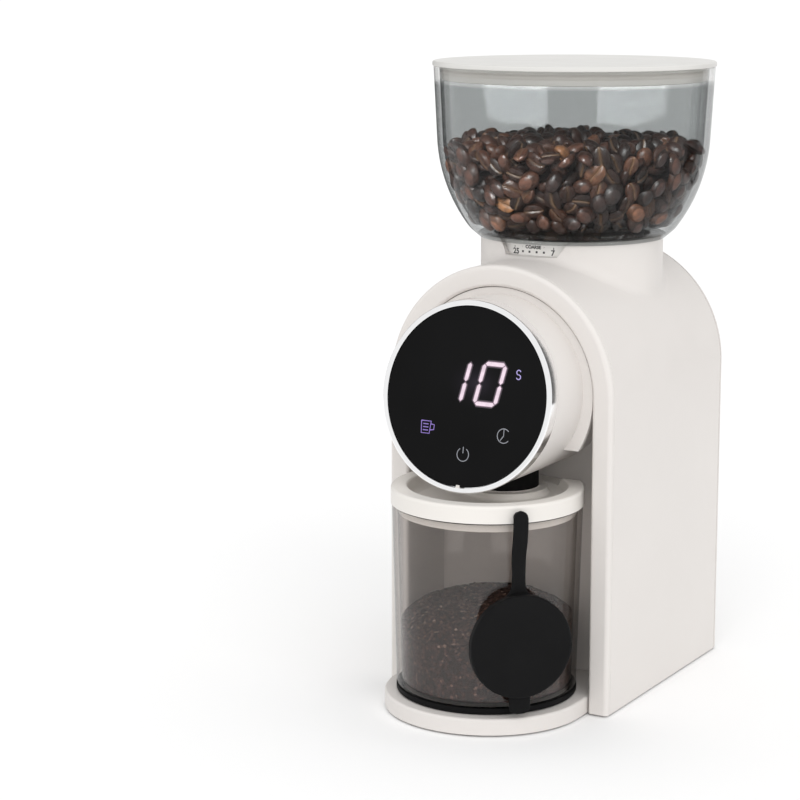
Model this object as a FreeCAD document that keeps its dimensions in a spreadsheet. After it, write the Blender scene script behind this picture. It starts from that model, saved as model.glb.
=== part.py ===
"""Burr coffee grinder: arch body, bean hopper, drum display, grounds jar and the drive inside.

Millimetres, +Z up, the front faces -Y and +X is the right side seen from the front.  The origin
is at the centre of the footprint of the whole machine, on the surface that it stands on.
"""
import FreeCAD, Part
import Sketcher
import math
import os

Vector = FreeCAD.Vector

# ---------------------------------------------------------------- driving dimensions
FRONT_Y = -40.80          # front face of the body, which every depth below is counted from
TILT = math.radians(9.5)  # the display leans back by this much
STOPPER_ANGLE = 46.0      # where the stopper hangs round the jar, from the front towards +X

DIMENSIONS = {
    # for every piece
    "over": 5.0,          # how far a cut runs past what it cuts
    "margin": 0.3,        # gap between neighbours that don't touch
    # body
    "front_y": FRONT_Y,
    "body_radius": 58.6,
    "arch_z": 150.1,
    "floor_gap": 1.0,
    "shell_wall": 2.7,
    "seam": 0.25,
    "face_thickness": 3.0,
    "face_round": 2.2,
    "recess_radius": 48.6,
    "recess_round": 1.6,
    "recess_y": FRONT_Y + 36.0,
    "liner_wall": 2.0,
    "back_y": FRONT_Y + 130.0,
    "rear_thickness": 2.8,
    "edge_break": 0.4,
    "rim_depth": 4.0,
    "rim_wall": 2.0,
    "slot_half": 24.0,
    "slot_low": 60.0,
    "slot_tall": 3.0,
    "slot_run": 48.0,
    # screws and the cord's bush in the rear cover
    "screw_x": 46.0,
    "screw_low": 16.0,
    "screw_high": 160.0,
    "screw_hole": 1.9,
    "screw_head": 3.2,
    "head_tall": 1.8,
    "screw_shank": 1.5,
    "screw_long": 9.0,
    "cord_z": 20.0,
    "gland_hole": 6.3,
    "gland_flange": 8.4,
    "gland_lip": 1.4,
    "gland_neck": 6.1,
    "gland_bore": 3.4,
    # collar round the foot of the hopper
    "hopper_y": FRONT_Y + 76.0,
    "collar_radius": 44.5,
    "collar_bore": 41.9,
    "collar_top": 216.7,
    "collar_blend": 7.0,
    "notch_top": 18.2,
    "notch_foot": 13.6,
    "notch_depth": 7.2,
    # base plate and feet
    "base_radius": 48.0,
    "base_top": 8.6,
    "floor_top": 4.0,
    "base_round": 1.2,
    "plate_half": 55.6,
    "plate_step": FRONT_Y + 38.4,
    "tongue_end": FRONT_Y + 41.5,
    "foot_radius": 7.0,
    "foot_height": 2.4,
    "foot_x": 44.0,
    "foot_rear_y": FRONT_Y + 112.0,
    "foot_mid_y": FRONT_Y + 52.0,
    # drum and display
    "drum_z": 152.0,
    "drum_radius": 43.3,
    "drum_wall": 2.4,
    "drum_hole": 41.2,
    "flange_set": 1.5,
    "flange_thick": 2.4,
    "flange_low": 125.0,
    "spigot_radius": 41.0,
    "spigot_wall": 2.2,
    "display_y": FRONT_Y - 31.4,
    "bezel_radius": 43.6,
    "bezel_depth": 7.0,
    "bezel_bore": 42.2,
    "bezel_ledge": 39.4,
    "bezel_skirt": 40.6,
    "glass_radius": 42.0,
    "glass_front": 0.5,
    "glass_back": 2.6,
    "skirt_depth": 3.0,
    "board_radius": 36.0,
    "board_depth": 11.0,
    "board_thick": 1.6,
    "digit_half": 15.0,
    "digit_low": 8.0,
    "digit_tall": 24.0,
    "digit_depth": 3.2,
    "plug_tall": 5.0,
    "plug_deep": 3.4,
    "cable_x": 34.0,
    "cable_wide": 12.0,
    "cable_thick": 1.0,
    "cable_z": 145.0,
    "cable_start": FRONT_Y - 13.4,
    "cable_y": FRONT_Y + 119.8,
    "tilt_sin": math.sin(TILT),
    "tilt_cos": math.cos(TILT),
    "slab_half": 62.0,
    "slab_deep": 60.0,
    # grounds chute
    "chute_y": FRONT_Y + 8.0,
    "chute_radius": 13.4,
    "chute_bore": 11.4,
    "duct_half": 13.0,
    "duct_end": FRONT_Y + 46.0,
    "duct_low": 170.0,
    "duct_high": 188.0,
    "duct_wall": 2.0,
    "boot_radius": 15.9,
    "boot_bore": 13.6,
    "boot_low": 103.7,
    "boot_high": 118.0,
    # jar, its lid and its base
    "jar_y": FRONT_Y - 9.5,
    "jar_foot_radius": 42.3,
    "jar_top_radius": 44.6,
    "jar_wall": 2.4,
    "jar_foot": 11.8,
    "jar_top": 98.3,
    "jar_floor": 2.5,
    "jar_bevel": 1.5,
    "jar_fillet": 2.0,
    "jar_ring_foot": 8.9,
    "lid_radius": 45.2,
    "lid_edge": 1.4,
    "lid_wall": 2.2,
    "lid_foot": 98.9,
    "lid_top": 107.0,
    "lid_rim": 37.2,
    "lid_dish": 100.4,
    "lid_under": 98.0,
    "lid_skirt": 41.6,
    "lid_skirt_foot": 94.4,
    "lid_lip": 103.2,
    "lid_hole": 16.4,
    "lid_neck": 20.0,
    "lid_blend": 1.9,
    "lid_cut_y": FRONT_Y + 19.0,
    # stopper that hangs from the jar's lid
    "peg_z": 102.0,
    "stopper_drop": 58.7,
    "stopper_radius": 24.0,
    "stopper_face": 48.2,
    "stopper_thick": 4.5,
    "stopper_edge": 0.9,
    "stopper_stub": 15.8,
    "stub_face": 44.2,
    "strap_half": 3.5,
    "strap_inner": 45.6,
    "strap_thick": 2.0,
    "strap_top": 3.5,
    "strap_bend": 20.0,
    "tab_half": 5.0,
    "tab_drop": 90.4,
    "tab_thick": 2.2,
    "tab_round": 3.0,
    "peg_radius": 2.4,
    "peg_long": 1.4,
    # hopper and its lid
    "hopper_top": 297.4,
    "hopper_radius": 68.0,
    "hopper_waist_z": 263.0,
    "hopper_waist": 66.2,
    "hopper_curve": 78.0,
    "hopper_hip_z": 219.4,
    "hopper_hip": 50.3,
    "hopper_heel": 46.6,
    "hopper_floor": 217.0,
    "hopper_wall": 2.8,
    "neck_radius": 38.2,
    "neck_bore": 35.7,
    "neck_foot": 203.9,
    "cap_radius": 68.6,
    "cap_edge": 0.9,
    "cap_wall": 2.2,
    "cap_foot": 297.6,
    "cap_top": 300.0,
    "cap_skirt": 64.3,
    "cap_skirt_foot": 290.8,
    # grind adjustment and burrs
    "dial_radius": 41.5,
    "dial_bore": 38.5,
    "dial_foot": 201.2,
    "dial_top": 216.4,
    "dial_ledge": 36.0,
    "ledge_thick": 2.2,
    "chamber_radius": 37.5,
    "chamber_bore": 35.0,
    "chamber_foot": 166.0,
    "chamber_floor": 169.0,
    "chamber_top": 198.0,
    "chamber_boss": 11.0,
    "boss_foot": 160.0,
    "boss_mouth": 6.0,
    "shaft_hole": 4.6,
    "carrier_radius": 34.6,
    "carrier_foot": 184.0,
    "carrier_top": 200.0,
    "burr_radius": 24.0,
    "burr_foot": 183.0,
    "burr_top": 199.0,
    "burr_mouth": 16.4,
    "burr_throat": 17.2,
    "burr_bore": 18.9,
    "burr_step": 6.0,
    "cone_foot": 179.5,
    "cone_top": 203.0,
    "cone_radius": 19.0,
    "cone_tip": 9.4,
    "cone_groove": 13.0,
    # drive
    "shaft_radius": 3.95,
    "shaft_fit": 0.02,
    "shaft_foot": 112.4,
    "shaft_top": 208.0,
    "nut_radius": 7.0,
    "nut_tall": 4.5,
    "bearing_radius": 8.0,
    "bearing_bore": 4.0,
    "bearing_height": 5.0,
    "bearing_seat": 8.05,
    "impeller_foot": 169.8,
    "impeller_plate": 171.4,
    "impeller_top": 177.5,
    "impeller_radius": 33.6,
    "impeller_hub": 10.0,
    "blade_half": 1.0,
    "motor_radius": 25.0,
    "motor_foot": 22.0,
    "motor_top": 93.8,
    "motor_boss": 9.0,
    "boss_tall": 4.0,
    "motor_bevel": 2.0,
    "motor_bore": 2.56,
    "motor_shaft": 2.5,
    "motor_shaft_top": 110.4,
    "gear_centres": 25.0,
    "pinion_z": 100.0,
    "wheel_z": 101.0,
    "output_z": 112.5,
    "pin_radius": 2.95,
    "box_foot": 94.0,
    "box_floor": 97.0,
    "box_top": 123.0,
    "box_radius": 24.0,
    "box_wall": 2.4,
    "box_hole": 7.0,
    "flange_left": 48.0,
    "flange_right": 52.0,
    "flange_half": 36.0,
    "post_radius": 3.0,
    "post_reach": 18.0,
    "cover_top": 126.0,
    "cover_boss": 133.0,
    "frame_low": 88.0,
    "frame_high": 91.0,
    "frame_leg": 4.0,
    "frame_hole": 25.6,
    "damper_radius": 6.0,
    "damper_x": 40.0,
    "damper_reach": 30.0,
    # electrics
    "board_y": FRONT_Y + 121.0,
    "board_foot": 24.0,
    "board_tall": 66.0,
    "board_half": 34.0,
    "cap_can": 6.0,
    "cap_can_long": 14.0,
    "cap_can_z": 42.0,
    "relay_deep": 8.2,
    "relay_wide": 16.0,
    "relay_tall": 14.0,
    "relay_z": 30.0,
    "socket_deep": 4.2,
    "socket_tall": 6.0,
    "socket_z": 80.0,
    "switch_x": 45.0,
    "switch_wide": 6.8,
    "switch_half": 4.0,
    "switch_z": 168.0,
    "switch_tall": 13.0,
}

# gears: all are module 1, on two centres 25 mm apart
MODULE = 1.0
PRESSURE = math.radians(20)
BACKLASH = 0.16
FLANK_STEPS = 4
PINION_TEETH = 12
WHEEL_TEETH = 38
SMALL_TEETH = 13
OUTPUT_TEETH = 37
PINION_WIDTH = 10.0
WHEEL_WIDTH = 8.0
SMALL_WIDTH = 11.5
PIN_BORE = 3.0

RING_BURR_GROOVES = 20
CONE_BURR_GROOVES = 18
COOLING_SLOTS = 7

doc = FreeCAD.newDocument("BurrGrinder")
sheet = doc.addObject("Spreadsheet::Sheet", "Dimensions")
for row, (alias, number) in enumerate(DIMENSIONS.items(), start=1):
    sheet.set("A%d" % row, alias)
    sheet.set("B%d" % row, "%.5f" % number)
    sheet.setAlias("B%d" % row, alias)
doc.recompute()

sub_parts = []


# ---------------------------------------------------------------- formulas and helpers
def factor(word):
    return DIMENSIONS[word] if word in DIMENSIONS else float(word)


def value(text):
    """The number that a formula such as "front_y + 0.5*seam" stands for."""
    total = 0.0
    sign = 1.0
    for token in str(text).split():
        if token in ("+", "-"):
            sign = 1.0 if token == "+" else -1.0
            continue
        product = sign
        for word in token.split("*"):
            product *= factor(word)
        total += product
        sign = 1.0
    return total


def formula(text, flip=False):
    """The same formula as an expression on the sheet's cells, or minus it."""
    tokens = []
    for token in str(text).split():
        words = ["Dimensions." + w if w in DIMENSIONS else w for w in token.split("*")]
        tokens.append(" * ".join(words))
    joined = " ".join(tokens)
    return "-(%s)" % joined if flip else joined


def bind(item, **sizes):
    for name, text in sizes.items():
        item.setExpression(name, formula(text))


def place(item, x="0", y="0", z="0"):
    item.setExpression("Placement.Base.x", formula(x))
    item.setExpression("Placement.Base.y", formula(y))
    item.setExpression("Placement.Base.z", formula(z))


def keep(item, label):
    """Name a finished sub-part and list it for the export."""
    item.Label = label
    sub_parts.append(item)
    return item


def block(x, y, z, wide, deep, tall):
    """Box from its low corner (x, y, z)."""
    box = doc.addObject("Part::Box", "Block")
    bind(box, Length=wide, Width=deep, Height=tall)
    place(box, x, y, z)
    return box


TURNS = {
    "z": FreeCAD.Rotation(),
    "y": FreeCAD.Rotation(Vector(1, 0, 0), -90),
    "x": FreeCAD.Rotation(Vector(0, 1, 0), 90),
}


def rod(radius, length, x="0", y="0", z="0", along="z"):
    """Cylinder that starts at (x, y, z) and runs along +X, +Y or +Z."""
    cylinder = doc.addObject("Part::Cylinder", "Rod")
    cylinder.Placement.Rotation = TURNS[along]
    bind(cylinder, Radius=radius, Height=length)
    place(cylinder, x, y, z)
    return cylinder


def fuse(items):
    joined = doc.addObject("Part::MultiFuse", "Fuse")
    joined.Shapes = items
    return joined


def group(items):
    """Separate solids that share one node."""
    bundle = doc.addObject("Part::Compound", "Group")
    bundle.Links = items
    return bundle


def cut(base, *tools):
    result = doc.addObject("Part::Cut", "Cut")
    result.Base = base
    result.Tool = tools[0] if len(tools) == 1 else fuse(list(tools))
    return result


def common(first, second):
    result = doc.addObject("Part::Common", "Common")
    result.Base = first
    result.Tool = second
    return result


def tube(outer, bore, length, x="0", y="0", z="0", along="z"):
    return cut(rod(outer, length, x, y, z, along), rod(bore, length, x, y, z, along))


def new_body(label):
    body = doc.addObject("PartDesign::Body", "Body_" + label)
    return keep(body, label)


def new_sketch(body, role, offset_x="0", offset_y="0", offset_z="0"):
    """Sketch on one of the body's origin planes, moved within and out of that plane."""
    sketch = body.newObject("Sketcher::SketchObject", "Sketch")
    plane = [f for f in body.Origin.OriginFeatures if f.Role == role][0]
    sketch.AttachmentSupport = [(plane, "")]
    sketch.MapMode = "FlatFace"
    sketch.setExpression("AttachmentOffset.Base.x", formula(offset_x))
    sketch.setExpression("AttachmentOffset.Base.y", formula(offset_y))
    sketch.setExpression("AttachmentOffset.Base.z", formula(offset_z, flip=(role == "XZ_Plane")))
    return sketch


def hold_point(sketch, edge, end, x, y):
    """Bind one end of an edge to its two coordinates, each of them a formula."""
    for kind, text, axis in (("DistanceX", x, -2), ("DistanceY", y, -1)):
        number = value(text)
        if abs(number) < 1e-9:
            sketch.addConstraint(Sketcher.Constraint("PointOnObject", edge, end, axis))
            continue
        ends = (-1, 1, edge, end) if number > 0 else (edge, end, -1, 1)
        index = sketch.addConstraint(Sketcher.Constraint(kind, *ends, abs(number)))
        sketch.setExpression("Constraints[%d]" % index, formula(text, flip=number < 0))


def draw_outline(sketch, corners):
    """Closed outline of corners (x, y) or (x, y, radius): with a radius the edge that leaves the
    corner is the short arc of that radius, bulging right of its direction, or left if negative."""
    count = len(corners)
    for index, corner in enumerate(corners):
        start = Vector(value(corner[0]), value(corner[1]), 0)
        following = corners[(index + 1) % count]
        end = Vector(value(following[0]), value(following[1]), 0)
        if len(corner) == 2:
            sketch.addGeometry(Part.LineSegment(start, end))
            continue
        radius = value(corner[2])
        chord = end - start
        right = Vector(chord.y, -chord.x, 0).normalize()
        if radius < 0:
            right = right * -1
        half = chord.Length / 2
        rise = abs(radius) - math.sqrt(max(radius * radius - half * half, 0.0))
        middle = (start + end) * 0.5 + right * rise
        ends = (start, end) if radius > 0 else (end, start)
        sketch.addGeometry(Part.Arc(ends[0], middle, ends[1]))
    for index, corner in enumerate(corners):
        geometry = sketch.Geometry[index]
        start = Vector(value(corner[0]), value(corner[1]), 0)
        near = 1 if (geometry.StartPoint - start).Length < 1e-6 else 2
        before = (index - 1) % count
        other = sketch.Geometry[before]
        far = 2 if (other.EndPoint - start).Length < 1e-6 else 1
        sketch.addConstraint(Sketcher.Constraint("Coincident", before, far, index, near))
        hold_point(sketch, index, near, corner[0], corner[1])
        if len(corner) == 3:
            radius = value(corner[2])
            bound = sketch.addConstraint(Sketcher.Constraint("Radius", index, abs(radius)))
            sketch.setExpression("Constraints[%d]" % bound, formula(corner[2], flip=radius < 0))


def draw_circle(sketch, x, y, radius):
    index = sketch.addGeometry(Part.Circle(Vector(value(x), value(y), 0), Vector(0, 0, 1), value(radius)))
    hold_point(sketch, index, 3, x, y)
    bound = sketch.addConstraint(Sketcher.Constraint("Radius", index, value(radius)))
    sketch.setExpression("Constraints[%d]" % bound, formula(radius))


def extrude(body, kind, sketch, length, backwards=False):
    """Pad or Pocket a sketch by a bound length, against the sketch's normal if backwards."""
    feature = body.newObject("PartDesign::" + kind, kind)
    feature.Profile = sketch
    feature.Reversed = backwards
    bind(feature, Length=length)
    return feature


def pad_up(body, sketch, length):
    return extrude(body, "Pad", sketch, length)


def pocket_up(body, sketch, length):
    return extrude(body, "Pocket", sketch, length, backwards=True)


def pocket_down(body, sketch, length):
    return extrude(body, "Pocket", sketch, length)


def pad_back(body, sketch, length):
    """Pad a sketch on the XZ plane towards +Y."""
    return extrude(body, "Pad", sketch, length, backwards=True)


def pocket_back(body, sketch, length):
    """Cut from a sketch on the XZ plane towards +Y."""
    return extrude(body, "Pocket", sketch, length)


def turn(body, corners, axis_y):
    """Turn an outline of (radius, z) corners about the vertical axis at y = axis_y."""
    sketch = new_sketch(body, "YZ_Plane", offset_x=axis_y)
    draw_outline(sketch, corners)
    feature = body.newObject("PartDesign::Revolution", "Revolution")
    feature.Profile = sketch
    feature.ReferenceAxis = (sketch, ["V_Axis"])
    feature.Angle = 360
    return feature


def round_edges(body, radius, chosen, kind="Fillet"):
    """Fillet or chamfer the edges of the body that the test picks."""
    doc.recompute()
    base = body.Tip
    names = ["Edge%d" % (i + 1) for i, edge in enumerate(base.Shape.Edges) if chosen(edge)]
    feature = body.newObject("PartDesign::" + kind, kind)
    feature.Base = (base, names)
    bind(feature, **{"Radius" if kind == "Fillet" else "Size": radius})
    return feature


def flat_at(edge, axis, place_text):
    """True if the whole edge lies in the plane axis = place."""
    box = edge.BoundBox
    low = getattr(box, axis + "Min")
    high = getattr(box, axis + "Max")
    spot = value(place_text)
    return abs(low - spot) < 1e-3 and abs(high - spot) < 1e-3


def minus(text):
    """The formula with every sign turned round."""
    tokens = text.split()
    if tokens[0] not in ("+", "-"):
        tokens.insert(0, "+")
    swap = {"+": "-", "-": "+"}
    return " ".join(swap.get(token, token) for token in tokens)


def times(text, word):
    """The formula with every term multiplied by a word."""
    return " ".join(token if token in ("+", "-") else token + "*" + word for token in text.split())


def draw_arch(sketch, radius, foot="floor_gap"):
    """Straight legs and a half circle on top, as two quarter arcs."""
    draw_outline(sketch, [
        (minus(radius), foot),
        (radius, foot),
        (radius, "arch_z", radius),
        ("0", "arch_z + " + radius, radius),
        (minus(radius), "arch_z"),
    ])


def arch_slab(body, radius, start_y, end_y, foot="floor_gap"):
    """Pad an arch between two depths."""
    sketch = new_sketch(body, "XZ_Plane", offset_z=start_y)
    draw_arch(sketch, radius, foot)
    return pad_back(body, sketch, end_y + " " + minus(start_y))


def arch_cut(body, radius, start_y, end_y, foot="floor_gap"):
    """Cut an arch between two depths."""
    sketch = new_sketch(body, "XZ_Plane", offset_z=start_y)
    draw_arch(sketch, radius, foot)
    return pocket_back(body, sketch, end_y + " " + minus(start_y))


def draw_box(sketch, low_x, low_y, high_x, high_y):
    draw_outline(sketch, [(low_x, low_y), (high_x, low_y), (high_x, high_y), (low_x, high_y)])


def tilted_slab(front, back):
    """Slab that leans back with the display, between two depths behind its front face."""
    slab = doc.addObject("Part::Box", "Slab")
    slab.Placement.Rotation = FreeCAD.Rotation(Vector(1, 0, 0), -math.degrees(TILT))
    bind(slab, Length="2*slab_half", Width=back + " " + minus(front), Height="2*slab_half")
    place(slab, "- slab_half", "display_y + %s - slab_half*tilt_sin" % times(front, "tilt_cos"),
          "drum_z %s - slab_half*tilt_cos" % minus(times(front, "tilt_sin")))
    return slab


def drum_slice(radius, front, back):
    """Slice of a cylinder on the drum's axis between two leaning planes."""
    length = "slab_deep + slab_half"
    return common(rod(radius, length, "0", "display_y - slab_deep", "drum_z", "y"), tilted_slab(front, back))


# ---------------------------------------------------------------- body shells
def make_outer_shell():
    """Side walls, arched top and the collar round the hopper's foot, in one moulding."""
    body = new_body("outer_shell")
    start = "front_y + face_thickness + seam"
    end = "back_y - rear_thickness - seam"
    arch_slab(body, "body_radius", start, end)
    round_edges(body, "edge_break", lambda e: (flat_at(e, "Y", start) or flat_at(e, "Y", end))
                and not flat_at(e, "Z", "floor_gap"), "Chamfer")
    collar = new_sketch(body, "XY_Plane", offset_z="arch_z")
    draw_circle(collar, "0", "hopper_y", "collar_radius")
    pad_up(body, collar, "collar_top - arch_z")

    def at_collar_foot(edge):
        box = edge.BoundBox
        inside = box.YMin > value(start + " + margin") and box.YMax < value(end + " - margin")
        return inside and box.ZMax < value("collar_top - margin") and box.ZMin > value("arch_z + margin")

    round_edges(body, "collar_blend", at_collar_foot)
    arch_cut(body, "body_radius - shell_wall", start, end, foot="floor_gap - over")
    bore = new_sketch(body, "XY_Plane", offset_z="collar_top")
    draw_circle(bore, "0", "hopper_y", "collar_bore")
    pocket_down(body, bore, "collar_top - arch_z")
    notch = new_sketch(body, "XZ_Plane", offset_z="hopper_y - collar_radius - over")
    draw_outline(notch, [
        ("- notch_foot", "collar_top - notch_depth"),
        ("notch_foot", "collar_top - notch_depth"),
        ("notch_top", "collar_top + margin"),
        ("- notch_top", "collar_top + margin"),
    ])
    pocket_back(body, notch, "0.5*collar_radius")


def make_front_frame():
    """Arch face, the lined recess behind it and the wall that carries the drum."""
    body = new_body("front_frame")
    face_back = "front_y + face_thickness"
    wall_back = "recess_y + liner_wall"
    arch_slab(body, "body_radius", "front_y", face_back)
    round_edges(body, "face_round", lambda e: flat_at(e, "Y", "front_y") and not flat_at(e, "Z", "floor_gap"))
    arch_slab(body, "recess_radius + liner_wall", face_back, wall_back)
    arch_cut(body, "recess_radius", "front_y", "recess_y", foot="floor_gap - over")
    door = new_sketch(body, "XZ_Plane", offset_z="recess_y - over")
    draw_box(door, "- recess_radius", "floor_gap - margin", "recess_radius", "base_top + margin")
    pocket_back(body, door, "liner_wall + 2*over")
    hole = new_sketch(body, "XZ_Plane", offset_z="recess_y - over")
    draw_circle(hole, "0", "drum_z", "drum_hole")
    pocket_back(body, hole, "liner_wall + 2*over")

    def inner_front(edge):
        box = edge.BoundBox
        reach = value("recess_radius + margin")
        within = box.XMin > -reach and box.XMax < reach
        return flat_at(edge, "Y", "front_y") and within and not flat_at(edge, "Z", "floor_gap")

    round_edges(body, "recess_round", inner_front)


def make_rear_cover():
    """Back panel with a locating rim, cooling slots, a cord hole and four screw holes."""
    body = new_body("rear_cover")
    inner = "back_y - rear_thickness"
    rim_front = inner + " - rim_depth"
    arch_slab(body, "body_radius", inner, "back_y")
    round_edges(body, "face_round", lambda e: flat_at(e, "Y", "back_y") and not flat_at(e, "Z", "floor_gap"))
    arch_slab(body, "plate_half", rim_front, inner, foot="floor_top + margin")
    arch_cut(body, "plate_half - rim_wall", rim_front, inner, foot="floor_top + margin + rim_wall")
    slot = new_sketch(body, "XZ_Plane", offset_z=rim_front)
    draw_box(slot, "- slot_half", "slot_low", "slot_half", "slot_low + slot_tall")
    first_slot = pocket_back(body, slot, "rim_depth + rear_thickness + over")
    doc.recompute()
    pattern = body.newObject("PartDesign::LinearPattern", "LinearPattern")
    pattern.Originals = [first_slot]
    pattern.Direction = (slot, ["V_Axis"])
    bind(pattern, Length="slot_run")
    pattern.Occurrences = COOLING_SLOTS
    body.Tip = pattern
    holes = new_sketch(body, "XZ_Plane", offset_z=rim_front)
    draw_circle(holes, "0", "cord_z", "gland_hole")
    for x, z in screw_places():
        draw_circle(holes, x, z, "screw_hole")
    pocket_back(body, holes, "rim_depth + rear_thickness + over")


def screw_places():
    return [(side + "screw_x", z) for side in ("- ", "") for z in ("screw_low", "screw_high")]


def make_base_plate():
    """Floor of the machine with a round-nosed shelf that the jar stands on."""
    body = new_body("base_plate")
    floor = new_sketch(body, "XY_Plane", offset_z="floor_gap")
    rear = "back_y - rear_thickness - rim_depth - 2*margin"
    ear = "recess_radius + liner_wall + margin"
    ear_front = "front_y + face_thickness + margin"
    draw_outline(floor, [
        ("- base_radius", "jar_y", "base_radius"),
        ("0", "jar_y - base_radius", "base_radius"),
        ("base_radius", "jar_y"),
        ("base_radius", "plate_step"),
        (ear, "plate_step"),
        (ear, ear_front),
        ("plate_half", ear_front),
        ("plate_half", rear),
        ("- plate_half", rear),
        ("- plate_half", ear_front),
        (minus(ear), ear_front),
        (minus(ear), "plate_step"),
        ("- base_radius", "plate_step"),
    ])
    pad_up(body, floor, "floor_top - floor_gap")
    shelf = new_sketch(body, "XY_Plane", offset_z="floor_top")
    draw_outline(shelf, [
        ("- base_radius", "jar_y", "base_radius"),
        ("0", "jar_y - base_radius", "base_radius"),
        ("base_radius", "jar_y"),
        ("base_radius", "tongue_end"),
        ("- base_radius", "tongue_end"),
    ])
    pad_up(body, shelf, "base_top - floor_top")
    round_edges(body, "base_round",
                lambda e: flat_at(e, "Z", "base_top") and e.BoundBox.YMax < value("recess_y"))
    seats = new_sketch(body, "XY_Plane", offset_z="floor_gap")
    for x, y in foot_places():
        draw_circle(seats, x, y, "foot_radius + margin")
    pocket_up(body, seats, "foot_height - floor_gap")


def foot_places():
    """Four feet under the body and one under the nose of the shelf."""
    corners = [(side + "foot_x", y) for side in ("- ", "") for y in ("foot_rear_y", "foot_mid_y")]
    return corners + [("0", "jar_y - 0.6*base_radius")]


def make_feet():
    keep(group([rod("foot_radius", "foot_height", x, y) for x, y in foot_places()]), "rubber_feet")


def screw(x, y, z):
    """Screw whose head starts at (x, y, z), with its shank towards -Y."""
    shank = rod("screw_shank", "screw_long", x, y + " - screw_long", z, "y")
    return fuse([shank, rod("screw_head", "head_tall", x, y, z, "y")])


def make_rear_screws():
    keep(group([screw(x, "back_y", z) for x, z in screw_places()]), "rear_screws")


def make_cord_gland():
    """Rubber bush that lines the cord's hole in the back panel."""
    inner = "back_y - rear_thickness - 1.6"
    flange = rod("gland_flange", "gland_lip", "0", "back_y + 0.05", "cord_z", "y")
    neck = rod("gland_neck", "rear_thickness + 1.7", "0", inner, "cord_z", "y")
    hole = rod("gland_bore", "4*over", "0", "back_y - 2*over", "cord_z", "y")
    keep(cut(fuse([flange, neck]), hole), "cord_gland")


# ---------------------------------------------------------------- drum and display
def make_drum():
    """Horizontal drum: it plugs into the recess wall and its front end leans back.

    A flange round its upper part closes the recess just behind the front face.
    """
    end = "recess_y + liner_wall + 0.2"
    start = "display_y - 4*over"
    barrel = rod("drum_radius", "recess_y " + minus(start), "0", start, "drum_z", "y")
    spigot = rod("spigot_radius", end + " - recess_y", "0", "recess_y", "drum_z", "y")
    inside = rod("drum_radius - drum_wall", "recess_y - drum_wall " + minus(start), "0", start, "drum_z", "y")
    through = rod("spigot_radius - spigot_wall", "8*over", "0", "recess_y - 6*over", "drum_z", "y")
    front = tilted_slab("- slab_deep", "bezel_depth")
    outlet = rod("boot_radius + 0.1", "30", "0", "chute_y", "boot_low - 2")
    disc = rod("recess_radius - margin", "flange_thick", "0", "front_y + flange_set", "arch_z", "y")
    below = block("- slab_deep", "front_y", "flange_low - slab_deep", "2*slab_deep", "2*flange_thick",
                  "slab_deep")
    flange = cut(disc, below)
    keep(cut(fuse([barrel, spigot, flange]), inside, through, front, outlet), "drum_housing")


def make_bezel():
    """Polished ring with a ledge for the glass and a skirt inside the drum."""
    ring = drum_slice("bezel_radius", "0", "bezel_depth")
    skirt = drum_slice("bezel_skirt", "bezel_depth - 1", "bezel_depth + skirt_depth")
    pocket = drum_slice("bezel_bore", "- 1", "glass_back + 0.05")
    bore = drum_slice("bezel_ledge", "- 1", "bezel_depth + over")
    keep(cut(fuse([ring, skirt]), pocket, bore), "display_bezel")


def make_glass():
    keep(drum_slice("glass_radius", "glass_front", "glass_back"), "display_glass")


def make_display_board():
    """Round circuit board behind the glass, with its digit module and a connector."""
    board_back = "board_depth + board_thick"
    board = drum_slice("board_radius", "board_depth", board_back)
    digits = common(block("- digit_half", "display_y - 4*over", "drum_z - digit_low",
                          "2*digit_half", "slab_deep", "digit_tall"),
                    tilted_slab("digit_depth", "board_depth"))
    plug = common(block("- cable_x", "display_y - 4*over", "cable_z - 0.4*plug_tall",
                        "cable_wide", "slab_deep", "plug_tall"),
                  tilted_slab(board_back, board_back + " + plug_deep"))
    keep(fuse([board, digits, plug]), "display_board")


def make_display_cable():
    """Flat ribbon from the display back through the drum and down to the control board."""
    run = block("- cable_x", "cable_start", "cable_z", "cable_wide", "cable_y + cable_thick - cable_start",
                "cable_thick")
    low = "socket_z + socket_tall + margin"
    drop = block("- cable_x", "cable_y", low, "cable_wide", "cable_thick",
                 "cable_z + 0.5*cable_thick " + minus(low))
    keep(fuse([run, drop]), "display_cable")


# ---------------------------------------------------------------- grounds chute
def make_chute():
    """Duct from the burr chamber into the drum, the pipe down from its end and the soft boot."""
    length = "duct_end - chute_y"
    pipe_low = "boot_low + 1.5"
    duct = block("- duct_half", "chute_y", "duct_low", "2*duct_half", length, "duct_high - duct_low")
    pipe = rod("chute_radius", "duct_high " + minus(pipe_low), "0", "chute_y", pipe_low)
    tunnel = block("duct_wall - duct_half", "chute_y", "duct_low + duct_wall", "2*duct_half - 2*duct_wall",
                   length, "duct_high - duct_low - 2*duct_wall")
    bore = rod("chute_bore", "duct_high - boot_low - duct_wall", "0", "chute_y", "boot_low")
    saddle = rod("chamber_radius + 0.1", "duct_high - boss_foot + over", "0", "hopper_y", "boss_foot")
    keep(cut(fuse([duct, pipe]), tunnel, bore, saddle), "grounds_chute")
    keep(tube("boot_radius", "boot_bore", "boot_high - boot_low", "0", "chute_y", "boot_low"), "chute_boot")


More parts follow.
